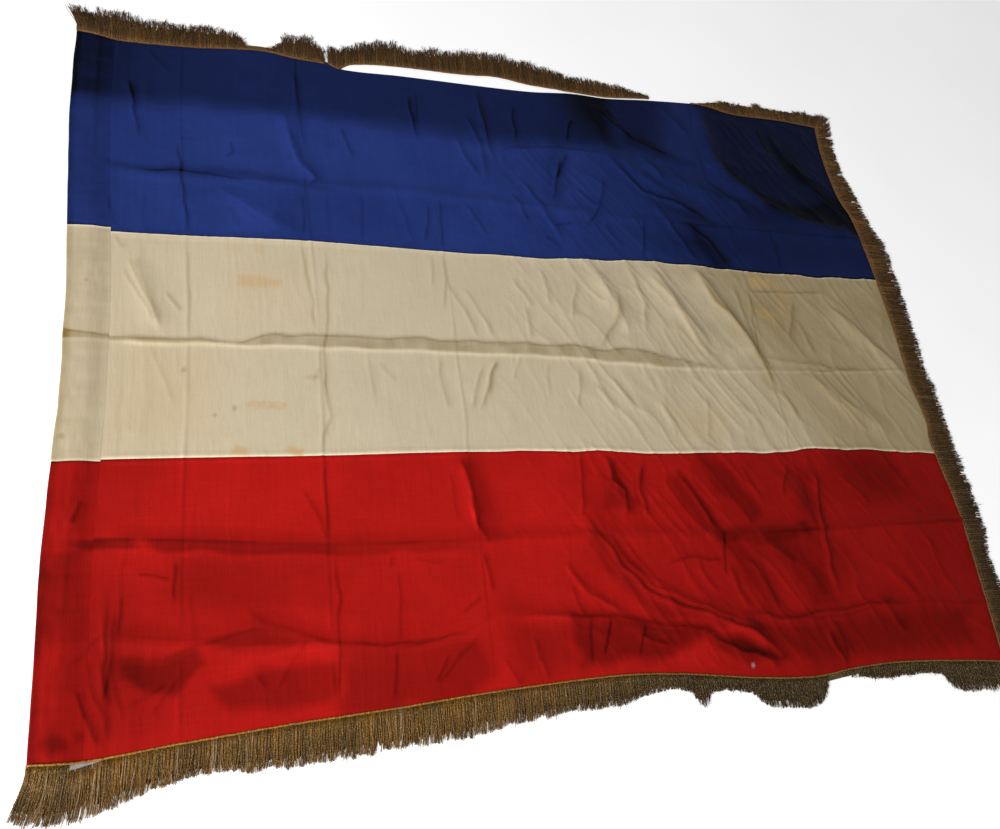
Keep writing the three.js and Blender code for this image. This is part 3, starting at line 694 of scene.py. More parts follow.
def band_points(rows, seams, seed):
    """The band's mid-surface as rows and columns of x, y, z; its places, the fine creases' painted shade,
    and flat columns.
    """
    x, z, turned, is_flat = cloth_columns()
    y = np.stack([row(x) for row in rows])
    place = np.broadcast_to(x, y.shape)
    out_x, out_y = to_cloth(place, y, turned)
    fine, line = fine_lift(place, y)
    inside = np.minimum(fly_edge(y) - out_x, np.minimum(y - bottom_edge(place), top_edge(place) - y))
    drifting = smooth((place - WORN_FROM) / 300) * smooth((inside - 14) / 50)
    out_y = out_y + SEAM_DRIFT * noise(place, y, 46, 78) * drifting
    free = smooth((inside - 4) / 30)
    on_flag = smooth((place - HEM_EDGE + 6) / 26)
    relief = main_lift(place, y) + (fine + crumple(place, y)) * free
    for seam in seams:
        relief += seam_relief(np.abs(y - seam(place)), place, seed)
    flat_z = BED + np.maximum(relief, 0) * on_flag * smooth(inside / BORDER_TURN)
    wave = 0.8 * noise(place, y, 46, seed + 3) + 0.4 * noise(place * 2.4, y, 18, seed + 4)
    hem_free = smooth((HEM_EDGE - place) / 12)
    hem_z = z + (wave + fine) * hem_free * np.clip((z - BED) / (SLEEVE_CROWN - BED), 0, 1)
    height = np.where(is_flat, flat_z, hem_z)
    bulge = np.where(is_flat, 0, -0.8 * noise(y, y, 60, seed + 5) * (place < 8))
    points = np.stack([out_x + bulge, out_y, height], axis=-1)
    return points, place, y, line, is_flat


# ---------------------------------------------------------------- meshes

def mesh_object(name, points, loops, sizes, marks=None):
    """An object from points in flag millimetres, the corners of its faces, and each face's corner count."""
    mesh = bpy.data.meshes.new(name)
    mesh.vertices.add(len(points))
    mesh.vertices.foreach_set("co", to_frame(*points.T).astype(np.float32).ravel())
    mesh.loops.add(len(loops))
    mesh.loops.foreach_set("vertex_index", np.asarray(loops, np.int32))
    mesh.polygons.add(len(sizes))
    sizes = np.asarray(sizes, np.int32)
    mesh.polygons.foreach_set("loop_start", np.concatenate([[0], np.cumsum(sizes)[:-1]]).astype(np.int32))
    mesh.polygons.foreach_set("use_smooth", np.ones(len(sizes), bool))
    mesh.update(calc_edges=True)
    for mark, values in (marks or {}).items():
        data = mesh.attributes.new(mark, "FLOAT", "POINT").data
        data.foreach_set("value", np.asarray(values, np.float32).ravel())
    made = bpy.data.objects.new(name, mesh)
    bpy.context.scene.collection.objects.link(made)
    return made


RIM_ANGLE = 1.0              # the rim of a sheet is a sharp edge, in radians
UNDER_STEP = 8               # the cloth's hidden underside has one cell for this many of the face's
LOWEST = 0.02


def coarse(first, count):
    """Every eighth place from first to the last one."""
    places = list(range(first, count - 1, UNDER_STEP))
    if len(places) > 1 and count - 1 - places[-1] < UNDER_STEP / 2:
        places.pop()
    return [*places, count - 1]


def two_sides(points):
    """The surfaces half the cloth's thickness off its middle, thinner at the hem's sewn edge."""
    normal = np.cross(np.gradient(points, axis=1), np.gradient(points, axis=0))
    normal /= np.linalg.norm(normal, axis=2, keepdims=True)
    thickness = np.full(points.shape[1], CLOTH)
    thickness[:4] = np.linspace(HEM_EDGE_THICKNESS, CLOTH, 5)[:4]
    half = normal * thickness[:, None] / 2
    return points + half, points - half


def lower_underside(face, back, rr, cc):
    """Puts each coarse place of the underside below all of the face round it."""
    for i, r in enumerate(rr):
        for j, c in enumerate(cc[1:], 1):
            r0, r1 = rr[max(i - 1, 0)], rr[min(i + 1, len(rr) - 1)]
            c0, c1 = cc[j - 1], cc[min(j + 1, len(cc) - 1)]
            low = face[r0:r1 + 1, c0:c1 + 1, 2].min() - CLOTH
            back[r, c, 2] = max(low, LOWEST)


def fine_faces(top, under, first):
    """Four-cornered faces: the whole face, the back of the turned-over hem, and the hem's rims."""
    hem = under[:, :first + 1]
    corners = [
        (top[:-1, :-1], top[:-1, 1:], top[1:, 1:], top[1:, :-1]),
        (hem[:-1, :-1], hem[1:, :-1], hem[1:, 1:], hem[:-1, 1:]),
        (top[0, :first], under[0, :first], under[0, 1:first + 1], top[0, 1:first + 1]),
        (top[-1, 1:first + 1], under[-1, 1:first + 1], under[-1, :first], top[-1, :first]),
        (top[1:, 0], under[1:, 0], under[:-1, 0], top[:-1, 0]),
    ]
    return np.concatenate([np.stack(four, axis=-1).reshape(-1, 4) for four in corners])


def coarse_faces(top, under, first, rr, cc):
    """The underside of the flat cloth, and the rims that join it to the face."""
    faces = []
    for r0, r1 in zip(rr, rr[1:]):
        faces.append([under[r0, first], *under[r0 + 1:r1 + 1, first], under[r1, cc[1]], under[r0, cc[1]]])
        for c0, c1 in zip(cc[1:], cc[2:]):
            faces.append([under[r0, c0], under[r1, c0], under[r1, c1], under[r0, c1]])
        faces.append([under[r0, -1], under[r1, -1], *top[r0:r1 + 1, -1][::-1]])
    for c0, c1 in zip(cc, cc[1:]):
        faces.append([under[0, c0], under[0, c1], *top[0, c0:c1 + 1][::-1]])
        faces.append([under[-1, c1], under[-1, c0], *top[-1, c0:c1 + 1]])
    return faces


def closed_sheet(name, points, is_flat, marks):
    """A closed sheet round a grid of mid-surface points.

    The face has every row and column. The side towards the surface is as fine on the turned-over hem, which
    shows it, and coarse under the flat cloth."""
    rows, columns = points.shape[:2]
    first = int(np.argmax(is_flat))
    face, back = two_sides(points)
    rr, cc = coarse(0, rows), coarse(first, columns)
    lower_underside(face, back, rr, cc)
    keep = np.zeros((rows, columns), bool)
    keep[:, :first + 1] = True
    keep[np.ix_(rr, cc)] = True
    top = np.arange(rows * columns).reshape(rows, columns)
    under = np.full((rows, columns), -1)
    under[keep] = rows * columns + np.arange(keep.sum())
    quads, polygons = fine_faces(top, under, first), coarse_faces(top, under, first, rr, cc)
    loops = np.concatenate([quads.ravel(), np.concatenate(polygons)])
    sizes = [4] * len(quads) + [len(polygon) for polygon in polygons]
    everything = np.concatenate([face.reshape(-1, 3), back[keep]])
    shared = {mark: np.concatenate([value.ravel(), value[keep]]) for mark, value in marks.items()}
    made = mesh_object(name, everything, loops, sizes, shared)
    made.data.set_sharp_from_angle(angle=RIM_ANGLE)
    return made


def tubes(paths, radii, sides, marks=None):
    """Closed tubes along paths (tube, step, 3), with radii (tube, step): points, loops, sizes and marks."""
    count, steps = paths.shape[:2]
    run = np.gradient(paths, axis=1)
    run /= np.linalg.norm(run, axis=2, keepdims=True) + 1e-9
    side = np.cross(run, [0.0, 0.0, 1.0])
    side /= np.linalg.norm(side, axis=2, keepdims=True) + 1e-9
    rise = np.cross(side, run)
    angle = np.arange(sides) * 2 * np.pi / sides + np.pi / 2
    ring = side[:, :, None] * np.cos(angle)[:, None] + rise[:, :, None] * np.sin(angle)[:, None]
    points = paths[:, :, None] + ring * radii[:, :, None, None]
    index = np.arange(count * steps * sides).reshape(count, steps, sides)
    turned = np.roll(index, -1, axis=2)
    body = np.stack([index[:, :-1], index[:, 1:], turned[:, 1:], turned[:, :-1]], axis=-1).reshape(-1, 4)
    caps = np.concatenate([index[:, 0], index[:, -1, ::-1]])
    loops = np.concatenate([body.ravel(), caps.ravel()])
    sizes = np.concatenate([np.full(len(body), 4), np.full(len(caps), sides)])
    spread = {mark: np.repeat(value, sides, axis=1).ravel() for mark, value in (marks or {}).items()}
    return points.reshape(-1, 3), loops, sizes, spread


def joined(parts):
    """One mesh's data from several."""
    offsets = np.cumsum([0] + [len(part[0]) for part in parts])
    points = np.concatenate([part[0] for part in parts])
    loops = np.concatenate([part[1] + offset for part, offset in zip(parts, offsets)])
    sizes = np.concatenate([part[2] for part in parts])
    marks = {mark: np.concatenate([part[3][mark] for part in parts]) for mark in parts[0][3]}
    return points, loops, sizes, marks


# ---------------------------------------------------------------- materials

def colour(red, green, blue):
    """A colour given as it looks on a screen, 0 to 255, in Blender's linear values."""
    def linear(value):
        value /= 255
        return value / 12.92 if value <= 0.04045 else ((value + 0.055) / 1.055) ** 2.4
    return (linear(red), linear(green), linear(blue), 1.0)


class Shader:
    """A material under construction."""

    def __init__(self, name):
        self.material = bpy.data.materials.new(name)
        self.material.use_nodes = True
        self.tree = self.material.node_tree
        self.surface = self.tree.nodes["Principled BSDF"]
        self.place = self.node("TexCoord").outputs["Object"]

    def node(self, kind, inputs=None, **settings):
        made = self.tree.nodes.new("ShaderNode" + kind)
        for key, value in settings.items():
            setattr(made, key, value)
        for key, value in (inputs or {}).items():
            self.set(made.inputs[key], value)
        return made

    def set(self, socket, value):
        if isinstance(value, bpy.types.NodeSocket):
            self.tree.links.new(value, socket)
        else:
            socket.default_value = value

    def finish(self, **inputs):
        for key, value in inputs.items():
            self.set(self.surface.inputs[key.replace("_", " ")], value)
        return self.material

    def stretched(self, x, y):
        return self.node("Mapping", {"Vector": self.place, "Scale": (x, y, 1.0)}).outputs["Vector"]

    def noise(self, vector, scale, detail=3.0, roughness=0.5):
        inputs = {"Vector": vector, "Scale": scale, "Detail": detail, "Roughness": roughness}
        return self.node("TexNoise", inputs).outputs["Fac"]

    def wave(self, scale, direction, distortion=0.0):
        inputs = {"Vector": self.place, "Scale": scale, "Distortion": distortion}
        return self.node("TexWave", inputs, bands_direction=direction).outputs["Fac"]

    def ranged(self, value, low, high, to_low=0.0, to_high=1.0):
        inputs = {"Value": value, "From Min": low, "From Max": high, "To Min": to_low, "To Max": to_high}
        return self.node("MapRange", inputs).outputs["Result"]

    def maths(self, operation, a, b):
        return self.node("Math", {0: a, 1: b}, operation=operation).outputs[0]

    def mixed(self, share, a, b, blend="MIX"):
        made = self.node("Mix", data_type="RGBA", blend_type=blend)
        self.set(made.inputs[0], share)
        self.set(made.inputs[6], a)
        self.set(made.inputs[7], b)
        return made.outputs[2]

    def clamped(self, value):
        return self.node("Clamp", {"Value": value}).outputs[0]

    def grey(self, level):
        return self.node("CombineColor", {0: level, 1: level, 2: level}).outputs[0]

    def mark(self, name):
        return self.node("Attribute", attribute_name=name).outputs["Fac"]

    def bumped(self, height, distance, strength=1.0, below=None):
        inputs = {"Height": height, "Distance": distance, "Strength": strength}
        if below:
            inputs["Normal"] = below
        return self.node("Bump", inputs).outputs["Normal"]


LINT = colour(150, 140, 150)
WEAVE_SCALE = 430
SATIN_SHEEN = 0.35           # how metallic the satin is, and how far its shine follows its threads


def satin(name, lit, shade_colour, soiled, pink, yellow, mottle, streak):
    """Worn satin: weave, slubs, cloudy colour that is partly uneven dyeing and partly painted sheen, and the
    painted shade and highlights, stains and dirt marked on the cloth.
    """
    s = Shader(name)
    # cloudy patches, partly uneven dyeing and partly painted sheen, between the lit colour and the painted
    # shade colour
    cloudy = s.ranged(s.noise(s.place, 7, 5, 0.6), 0.35, 0.7)
    patchy = s.ranged(s.noise(s.place, 34, 4, 0.6), 0.4, 0.7)
    base_colour = s.mixed(s.maths("MULTIPLY", cloudy, mottle), lit, shade_colour)
    # painted shade: the shade mark mixes the colour towards the shade colour
    base_colour = s.mixed(s.clamped(s.mark("shade")), base_colour, shade_colour)
    weft = s.noise(s.stretched(14, 620), 1, 3, 0.6)
    warp = s.noise(s.stretched(560, 9), 1, 3, 0.6)
    slub = s.noise(s.stretched(28, 240), 1, 2, 0.5)
    threads = s.maths("ADD", s.maths("ADD", weft, warp), slub)
    level = s.ranged(threads, 1.1, 1.9, 1 - streak, 1 + streak)
    # a shade mark below zero is a painted highlight, which lightens the colour
    painted_highlight = s.ranged(s.mark("shade"), -1.0, 0.0, 1.75, 1.0)
    base_colour = s.mixed(1.0, base_colour, s.grey(s.maths("MULTIPLY", level, painted_highlight)), "MULTIPLY")
    base_colour = s.mixed(s.mark("pink"), base_colour, pink)
    base_colour = s.mixed(s.mark("yellow"), base_colour, yellow)
    base_colour = s.mixed(s.mark("bare"), base_colour, LINT)
    grime = s.maths("MULTIPLY", patchy, 0.06)
    base_colour = s.mixed(s.maths("ADD", grime, s.mark("dirt")), base_colour, soiled)
    pits = s.maths("MULTIPLY", s.wave(WEAVE_SCALE, "X"), s.wave(WEAVE_SCALE, "Y"))
    weave = s.bumped(pits, 0.00006, 0.5)
    ribs = s.bumped(threads, 0.00022, 0.3, weave)
    crinkle = s.noise(s.stretched(115, 26), 1, 5, 0.62)
    handled = s.bumped(crinkle, 0.0020, 0.35, ribs)
    rough = s.ranged(s.maths("ADD", patchy, weft), 0.3, 1.4, 0.40, 0.56)
    return s.finish(Base_Color=base_colour, Roughness=rough, Normal=handled, Metallic=SATIN_SHEEN,
                    Specular_IOR_Level=0.0, Anisotropic=SATIN_SHEEN)


DULLED = colour(30, 17, 5)     # the fringe's dirt and the painted shade on its mat, its braid where threads are gone, and its painted glints
BARE_BRAID = colour(128, 120, 128)
PAINTED_GLINT = colour(205, 178, 96)


def bullion(name, gold, brown, worn, worn_share, bright):
    """Tarnished gilt thread: each its own tone, darker with painted shade between the cords, browner towards
    its end, with painted glints.
    """
    s = Shader(name)
    tone = s.mark("tone")
    end = s.mark("end")
    patchy = s.noise(s.place, 22, 3)
    brownness = s.maths("ADD", s.maths("MULTIPLY", end, 0.3), s.ranged(patchy, 0.3, 0.7, 0.0, 0.5))
    base_colour = s.mixed(s.clamped(brownness), gold, brown)
    # low tone turns the thread brown; tone holds each thread's own tone and the painted shade between the
    # cords
    base_colour = s.mixed(s.ranged(tone, 0.0, 0.9, 0.85, 0.0), base_colour, brown)
    speckle = s.ranged(s.noise(s.place, 420, 2), 0.35, 0.65, 0.6, 1.45)
    base_colour = s.mixed(1.0, base_colour, s.grey(speckle), "MULTIPLY")
    base_colour = s.mixed(s.ranged(tone, 1 - worn_share, 1.001 - worn_share, 0.0, 0.7), base_colour, worn)
    base_colour = s.mixed(s.mark("dull"), base_colour, DULLED)
    base_colour = s.mixed(s.mark("bare"), base_colour, BARE_BRAID)
    # painted glints: small bright flecks mixed towards the glint colour
    painted_glint = s.ranged(s.noise(s.place, 900, 2), 0.56, 0.68, 0.0, bright)
    base_colour = s.mixed(painted_glint, base_colour, PAINTED_GLINT)
    twist = s.wave(260, "DIAGONAL", 1.5)
    wound = s.bumped(twist, 0.00025, 0.6)
    rough = s.ranged(patchy, 0.3, 0.7, 0.42, 0.62)
    return s.finish(Base_Color=base_colour, Roughness=rough, Metallic=0.25, Normal=wound, Specular_IOR_Level=0.4)


# ---------------------------------------------------------------- the three bands

def rows_between(guides):
    """Row lines between guide lines, evenly shared out; each guide line keeps a row."""
    def blended(low, high, share):
        return lambda x: low(x) * (1 - share) + high(x) * share

    middle = np.array([FLAG_WIDTH / 2])
    rows = []
    for low, high in zip(guides, guides[1:]):
        gap = float(high(middle)[0] - low(middle)[0])
        count = max(1, round(gap / FINE_STEP))
        rows += [blended(low, high, k / count) for k in range(count)]
    return rows + [guides[-1]]


def offset(line, distance):
    return lambda x: line(x) + distance


SEAM_LINE_WIDTH = 4.0
SEAM_LINE = {
    # how much darker the cloth is right along its seams, as painted shade in the seam's groove, or lighter,
    # as a painted highlight, where it is below zero
    "band_red": 0.45,
    "band_white": -0.90,
    "band_blue": 0.75,
}


# Painted shade of the pleat's strip and its upper line, and the painted highlight along its lower line.
PLEAT_SHADE, PLEAT_LINE, PLEAT_LIGHT = 0.50, 0.35, 0.10


def pleat_shade(x, y):
    """The painted shade of the pleat's strip, with its dark upper line of painted shade and a painted
    highlight along its lower line.
    """
    opened = (1 - 0.7 * smooth((x - 940) / 200)) * (1 - 0.8 * np.clip(1 - np.abs(x - 232) / 24, 0, 1))
    foot, head = pleat_lines(x)
    strip = smooth((y - foot + 1.5) / 3) * smooth((head - y + 1.5) / 3)
    upper = np.clip(1 - np.abs(y - head) / 3.2, 0, 1)
    lower = np.clip(1 - np.abs(y - foot + 3.5) / 3.5, 0, 1)
    # the strip's painted shade is uneven along it
    worn = 0.8 + 0.3 * noise(x, y, 18, 45)
    return opened * (PLEAT_SHADE * strip * worn + PLEAT_LINE * upper) - PLEAT_LIGHT * lower


# Painted shade along the storage creases: the crease, and the darkness of its line.
LENGTHWISE_LINES = ((low_crease, 0.25), (quarter_crease, 0.38), (blue_crease, 0.25))
CROSS_LINES = (0.16, 0.24, 0.22, 0.18)     # darkness of the painted shade in the cross creases, from the hoist


def crease_shade(x, y):
    """Painted shade: thin dark lines at the bottom of the storage creases, stronger near the hoist."""
    near_hoist = 0.8 - 0.15 * smooth((x - 500) / 500)
    total = np.zeros(np.shape(x))
    for line, strength in LENGTHWISE_LINES:
        broken = 0.6 + 0.4 * noise(x, y * 0, 60, 31)
        total += strength * near_hoist * broken * np.clip(1 - np.abs(y - line(x) + 3) / 4.6, 0, 1)
    for place, strength in zip(CROSS_CREASES, CROSS_LINES):
        broken = np.clip(0.5 + 0.9 * noise(x * 0, y, 70, 32 + place), 0, 1)
        total += strength * broken * np.clip(1 - np.abs(x - place - 2) / 3, 0, 1)
    return total


UNDER_DEPTH = 24             # height of the strip of painted shade under the quarter crease
UNDER_SHADE = 0.46
UNDER_GAP = (118, 16)        # where the strip is broken: its place and half its width


def under_crease(x, y):
    """The painted shade under the red band's quarter crease: a dark strip, crisp above, soft below, broken
    near the hoist.
    """
    below = quarter_crease(x) - y
    depth = UNDER_DEPTH * (0.8 + 0.2 * noise(x, y * 0, 40, 51)) * (0.25 + 0.75 * smooth((x - 5) / 60))
    ends = smooth((x - 25) / 45) * (1 - smooth((x - 560) / 60))
    strength = (UNDER_SHADE - 0.16 * smooth((x - 380) / 20)) * ends
    gap = np.clip(1 - np.abs(x - 0.5 * below - UNDER_GAP[0]) / UNDER_GAP[1], 0, 1)
    return strength * (1 - 0.8 * gap) * smooth((below + 1.5) / 3) * (1 - smooth(2.2 * (below / depth - 0.7)))


END_SHADE = {
    # at the hoist, over the fly half, and past the last cross crease
    "band_red": (0.34, 0.21, 0.12),
    "band_white": (0.13, 0.12, 0.40),
    "band_blue": (0.14, 0.26, 0.28),
}


HOIST_END = 280              # the hoist end's painted shade runs out here
FAR_HALF = 600               # the fly half's begins here, and is full this much further on
LAST_PANEL = 1090            # the last panel's begins here
PANEL_EDGE = 210             # and is full over this
PANEL_SLANT = 0.45


def end_shade(name, x, y):
    """Both ends are darker than the middle, and the last panel most of all: painted shade where the light
    falls off, and partly yellowing with age towards the fly.
    """
    hoist, half, panel = END_SHADE[name]
    x = x + 30 * noise(x, y, 120, 44)
    folded = x + PANEL_SLANT * (y - 600)
    near, far = 1 - smooth(x / HOIST_END), smooth((x - FAR_HALF) / FAR_HALF)
    return hoist * near + half * far + panel * smooth((folded - LAST_PANEL) / PANEL_EDGE)


HEM_DULL = {"band_red": 0.04, "band_white": 0.12, "band_blue": 0.08}    # how much darker the sleeve is all over


FOLD_SHADE, RIB_SHADE, LENGTHWISE_SHADE = 0.32, 0.05, 0.08


def hem_shade(name, x, y, is_flat):
    """The puffed edge of the pole sleeve turns from the light."""
    on_hem = ~is_flat
    edge = np.where(on_hem, FOLD_SHADE * np.clip(1 - x / 11, 0, 1), 0)
    ribs = np.where(on_hem, RIB_SHADE * noise(x * 0.3, y, 9, 40), 0)
    lengthwise = LENGTHWISE_SHADE * np.clip(noise(x, y * 0.03, 8, 41), 0, 1) * (x < 130)
    return edge + ribs + lengthwise + HEM_DULL[name] * on_hem


def band(name, guides, seams, seed, material):
    """One band of the flag between its bottom and top guide lines, with the marks that its satin reads."""
    points, x, y, line, is_flat = band_points(rows_between(guides), seams, seed)
    flat = np.broadcast_to(is_flat, x.shape)
    # the shade mark: painted shade, and painted highlight where below zero, from the patches, the storage
    # creases, the sleeve, the fine creases, the ends, the pleat, the quarter crease and the seams
    shade = painted(PATCHES, x, y, 7, 21) + crease_shade(x, y) * flat + hem_shade(name, x, y, flat) + line
    shade += end_shade(name, x, y)
    if name == "band_white":
        shade += pleat_shade(x, y)
    if name == "band_red":
        shade += under_crease(x, y)
    for seam in (red_seam, blue_seam):
        shade += SEAM_LINE[name] * np.clip(1 - np.abs(y - seam(x)) / SEAM_LINE_WIDTH, 0, 1)
    fleck = np.clip(1.4 - np.hypot(x - FLECK[0], y - FLECK[1]) / FLECK[2], 0, 1)
    marks = {
        "shade": shade,
        "bare": fleck,
        "pink": np.clip(painted(PINK_STAINS, x, y, 5, 23) + ring_stain(x, y), 0, 1) * flat,
        "yellow": np.clip(painted(YELLOW_STAINS, x, y, 8, 25), 0, 1) * flat,
        "dirt": 0.35 * specks(x, y),
    }
    made = closed_sheet(name + "_cloth", points, is_flat, marks)
    made.data.materials.append(material)
    return made


# Each satin's colours: lit, painted shade, soiled, pink stain and yellow stain.
BLUE_SATIN = satin("blue_satin", colour(39, 57, 122), colour(11, 13, 21), colour(24, 22, 24),
                   colour(60, 50, 100), colour(60, 60, 100), mottle=0.22, streak=0.07)
CREAM_SATIN = satin("cream_satin", colour(202, 188, 160), colour(126, 104, 56), colour(96, 78, 48),
                    colour(198, 164, 118), colour(192, 156, 90), mottle=0.08, streak=0.02)
RED_SATIN = satin("red_satin", colour(178, 26, 22), colour(60, 10, 7), colour(40, 10, 8),
                  colour(150, 40, 30), colour(150, 40, 30), mottle=0.22, streak=0.06)

RED_GUIDES = [bottom_edge, low_crease, quarter_crease, offset(red_seam, -SEAM_GAP / 2)]
WHITE_GUIDES = [offset(red_seam, SEAM_GAP / 2), pleat_foot, pleat_head, offset(blue_seam, -SEAM_GAP / 2)]
BLUE_GUIDES = [offset(blue_seam, SEAM_GAP / 2), blue_crease, top_crease, top_edge]
red_band = band("band_red", RED_GUIDES, [red_seam], 50, RED_SATIN)
white_band = band("band_white", WHITE_GUIDES, [red_seam, blue_seam], 60, CREAM_SATIN)
blue_band = band("band_blue", BLUE_GUIDES, [blue_seam], 70, BLUE_SATIN)

# ---------------------------------------------------------------- fringe

BRAID_INNER = -8             # the braid lies on the cloth from here
BRAID_LIP = 3                # to here, past its edge
BRAID_HEIGHT = 1.4
SLEEVE_CLEARANCE = 0.6
ON_CLOTH = BED + CLOTH / 2 + 0.1
THREAD_SPACING = 0.88
THREAD_RADIUS = 0.72
THREAD_STEPS = 6
MAT_THICKNESS = 0.9
NOTCH_DEPTH = 0.55           # a notch cuts the threads to this share of their length
SHORTEST = 8                 # a stretch with threads shorter than this has lost them

top_tips = curve_through(
    (0, 1258), (79, 1256), (119, 1246), (190, 1249), (272, 1243), (284, 1222),
    (330, 1226), (355, 1254), (380, 1261), (407, 1252), (424, 1236))
loose_tips = curve_through(
    (431, 1236), (484, 1257), (548, 1278), (597, 1268), (679, 1279), (747, 1283),
    (846, 1276), (899, 1260), (963, 1249), (1037, 1246), (1115, 1228))
top_fly_tips = curve_through(
    (1217, 1226), (1254, 1233), (1300, 1238), (1376, 1235), (1389, 1244), (1402, 1235), (1479, 1236),
    (1520, 1241), (1553, 1232))
fly_tips = curve_through(
    (-8, 1592), (60, 1598), (140, 1597), (182, 1592), (243, 1606), (450, 1604), (545, 1606), (579, 1600),
    (668, 1607), (819, 1610), (890, 1608), (936, 1591), (1002, 1580), (1077, 1566), (1136, 1564),
    (1200, 1578))
bottom_tips = curve_through(
    (0, -60), (30, -68), (60, -67), (111, -54), (151, -42), (211, -33), (307, -35), (490, -27), (562, -22),
    (620, -13), (700, -6), (800, -3), (860, 9), (915, 6), (936, -19), (958, 0), (1029, -9), (1047, -27),
    (1130, -37), (1160, -24), (1172, 0), (1240, 0), (1270, -6), (1400, -9), (1420, -33), (1460, -41),
    (1550, -44))
loose_drift = curve_through(
    (431, -4), (452, -2), (462, 7), (475, 15), (518, 22), (701, 25), (770, 30), (837, 19), (891, 11),
    (933, 4), (1115, 4))


def loose_line(x):
    return top_edge(x) + loose_drift(x)


def braid_base(along):
    """The braid's underside: flat on the cloth, and up over the sleeve near the hoist."""
    bridge = hem_height(along) + CLOTH / 2 + SLEEVE_CLEARANCE
    return np.where(along < HEM_EDGE + 2, bridge, ON_CLOTH)


def spread_at(corner, amount, over):
    return lambda along: amount * smooth(1 - np.abs(along - corner) / over)


def none(along):
    return np.zeros(np.shape(along))


def bald_share(strip, along):
    """How far the threads have come off the braid where it shows bare."""
    total = np.zeros(np.shape(along))
    for first, last in strip["bald"]:
        total += np.where((along > first) & (along < last), (last - along) / (last - first), 0)
    return total


def notched(strip, along, full, length, margin):
    """Lengths with the strip's notches cut into them."""
    for notch, width in strip["notches"]:
        length = np.where(np.abs(along - notch) < width + margin, NOTCH_DEPTH * full, length)
    return length


def fringe_marks(shape, tone, end, dull, bare=0):
    """What the fringe's material reads at each point."""
    values = {"tone": tone, "end": end, "dull": dull, "bare": bare}
    return {mark: np.broadcast_to(value, shape) for mark, value in values.items()}


MAT_STEP = 2.0
MAT_SECTION = (
    # share of the way out, and 1 on top or 0 below
    (0, 1), (0.3, 1), (0.65, 1), (1, 1), (0.65, 0), (0.3, 0), (0, 0))
BRAID_STEP = 2.4
CORD_STEP = 2.2
# Share of the way across, and height.
BRAID_SECTION = ((0.0, 0.0), (0.0, 0.8), (0.12, 1.3), (0.5, 1.15), (0.88, 1.3), (1.0, 0.8), (1.0, 0.0))
DARK_CORD, BRIGHT_CORD = (1.2, 0.62), (1.6, 0.74)     # radius, and how bright its gilt is
THREAD_DROP = 26             # the threads reach the surface this far out
TUFT_WIDTH = (6, 15)
CORD_WIDTH = (2.4, 5.2)
TUFT_RAGGED, THREAD_RAGGED = 0.05, 0.028     # how much tufts and threads differ in length, as shares of it
SHORT_SHARE = 0.10           # shares of the threads that have broken short, stray or leave a stub
STRAY_SHARE = 0.025
STUB_SHARE = 0.35


def mat(strip, random):
    """The matted lowest threads, as a thin ragged pad under the loose ones."""
    along = np.arange(strip["from"] + 1, strip["to"] - 1, MAT_STEP)
    full = strip["reach"](along)
    length = full * (0.80 + 0.07 * random.normal(size=len(along)))
    length = notched(strip, along, full, length, 1)
    length = np.clip(np.where(full > SHORTEST, length, 0), 2, np.maximum(full, 3))
    lip, base = strip["lip"], strip["base"](along)
    rows = []
    for share, lift in MAT_SECTION:
        lean = strip["lean"](along) * share ** 1.4 * length / np.maximum(full, 1)
        x, y = strip["place"](along + lean, lip - 2 + (length - lip + 2) * share)
        height = base * (1 - smooth(share * 1.8)) + 0.12 + MAT_THICKNESS * lift * (1 - 0.6 * share)
        rows.append(np.stack([x, y, height], axis=-1))
    # painted shade under the loose threads: the mat is kept low in tone and always somewhat dulled, besides
    # the strip's dirt
    tone = random.uniform(0, 0.3, len(along))[:, None]
    dull = 0.22 + 0.7 * strip["dull"](along)[:, None]
    return swept(np.stack(rows, axis=1), fringe_marks((len(along), len(rows)), tone, 0.8, dull))


def swept(grid, marks):
    """A closed form from sections (step, side, 3) in a run."""
    steps, sides = grid.shape[:2]
    index = np.arange(steps * sides).reshape(steps, sides)
    turned = np.roll(index, -1, axis=1)
    body = np.stack([index[:-1], turned[:-1], turned[1:], index[1:]], axis=-1).reshape(-1, 4)
    caps = np.stack([index[0, ::-1], index[-1]])
    loops = np.concatenate([body.ravel(), caps.ravel()])
    sizes = np.concatenate([np.full(len(body), 4), np.full(2, sides)])
    return grid.reshape(-1, 3), loops, sizes, {mark: value.ravel() for mark, value in marks.items()}


def thread_lengths(strip, along, random):
    """How long each thread is, which are there at all, how its tuft leans, and which are strays."""
    count, start, ragged = len(along), strip["from"], strip["ragged"]
    full = np.clip(strip["reach"](along), 0, None)
    edges = start + np.cumsum(random.uniform(*TUFT_WIDTH, int((strip["to"] - start) / TUFT_WIDTH[0])))
    tuft = np.searchsorted(edges, along)
    tuft_shift = random.uniform(-1, 1, len(edges) + 2)[tuft]
    tuft_length = random.uniform(-1, 1, len(edges) + 2)[tuft]
    uneven = TUFT_RAGGED * tuft_length + THREAD_RAGGED * random.normal(size=count)
    length = full * (1 + ragged * uneven)
    short = random.random(count) < SHORT_SHARE
    length = np.where(short, length * random.uniform(0.55, 0.95, count), length)
    stray = random.random(count) < STRAY_SHARE * ragged
    length = np.where(stray, length + random.uniform(1, 5, count), length)
    stubs = (full > 2) & (full <= SHORTEST) & (random.random(count) < STUB_SHARE)
    length = np.where(stubs, full * random.uniform(0.5, 1.4, count), length)
    length = notched(strip, along, full, length, 0)
    return length, (full > SHORTEST) | stubs, tuft_shift, stray


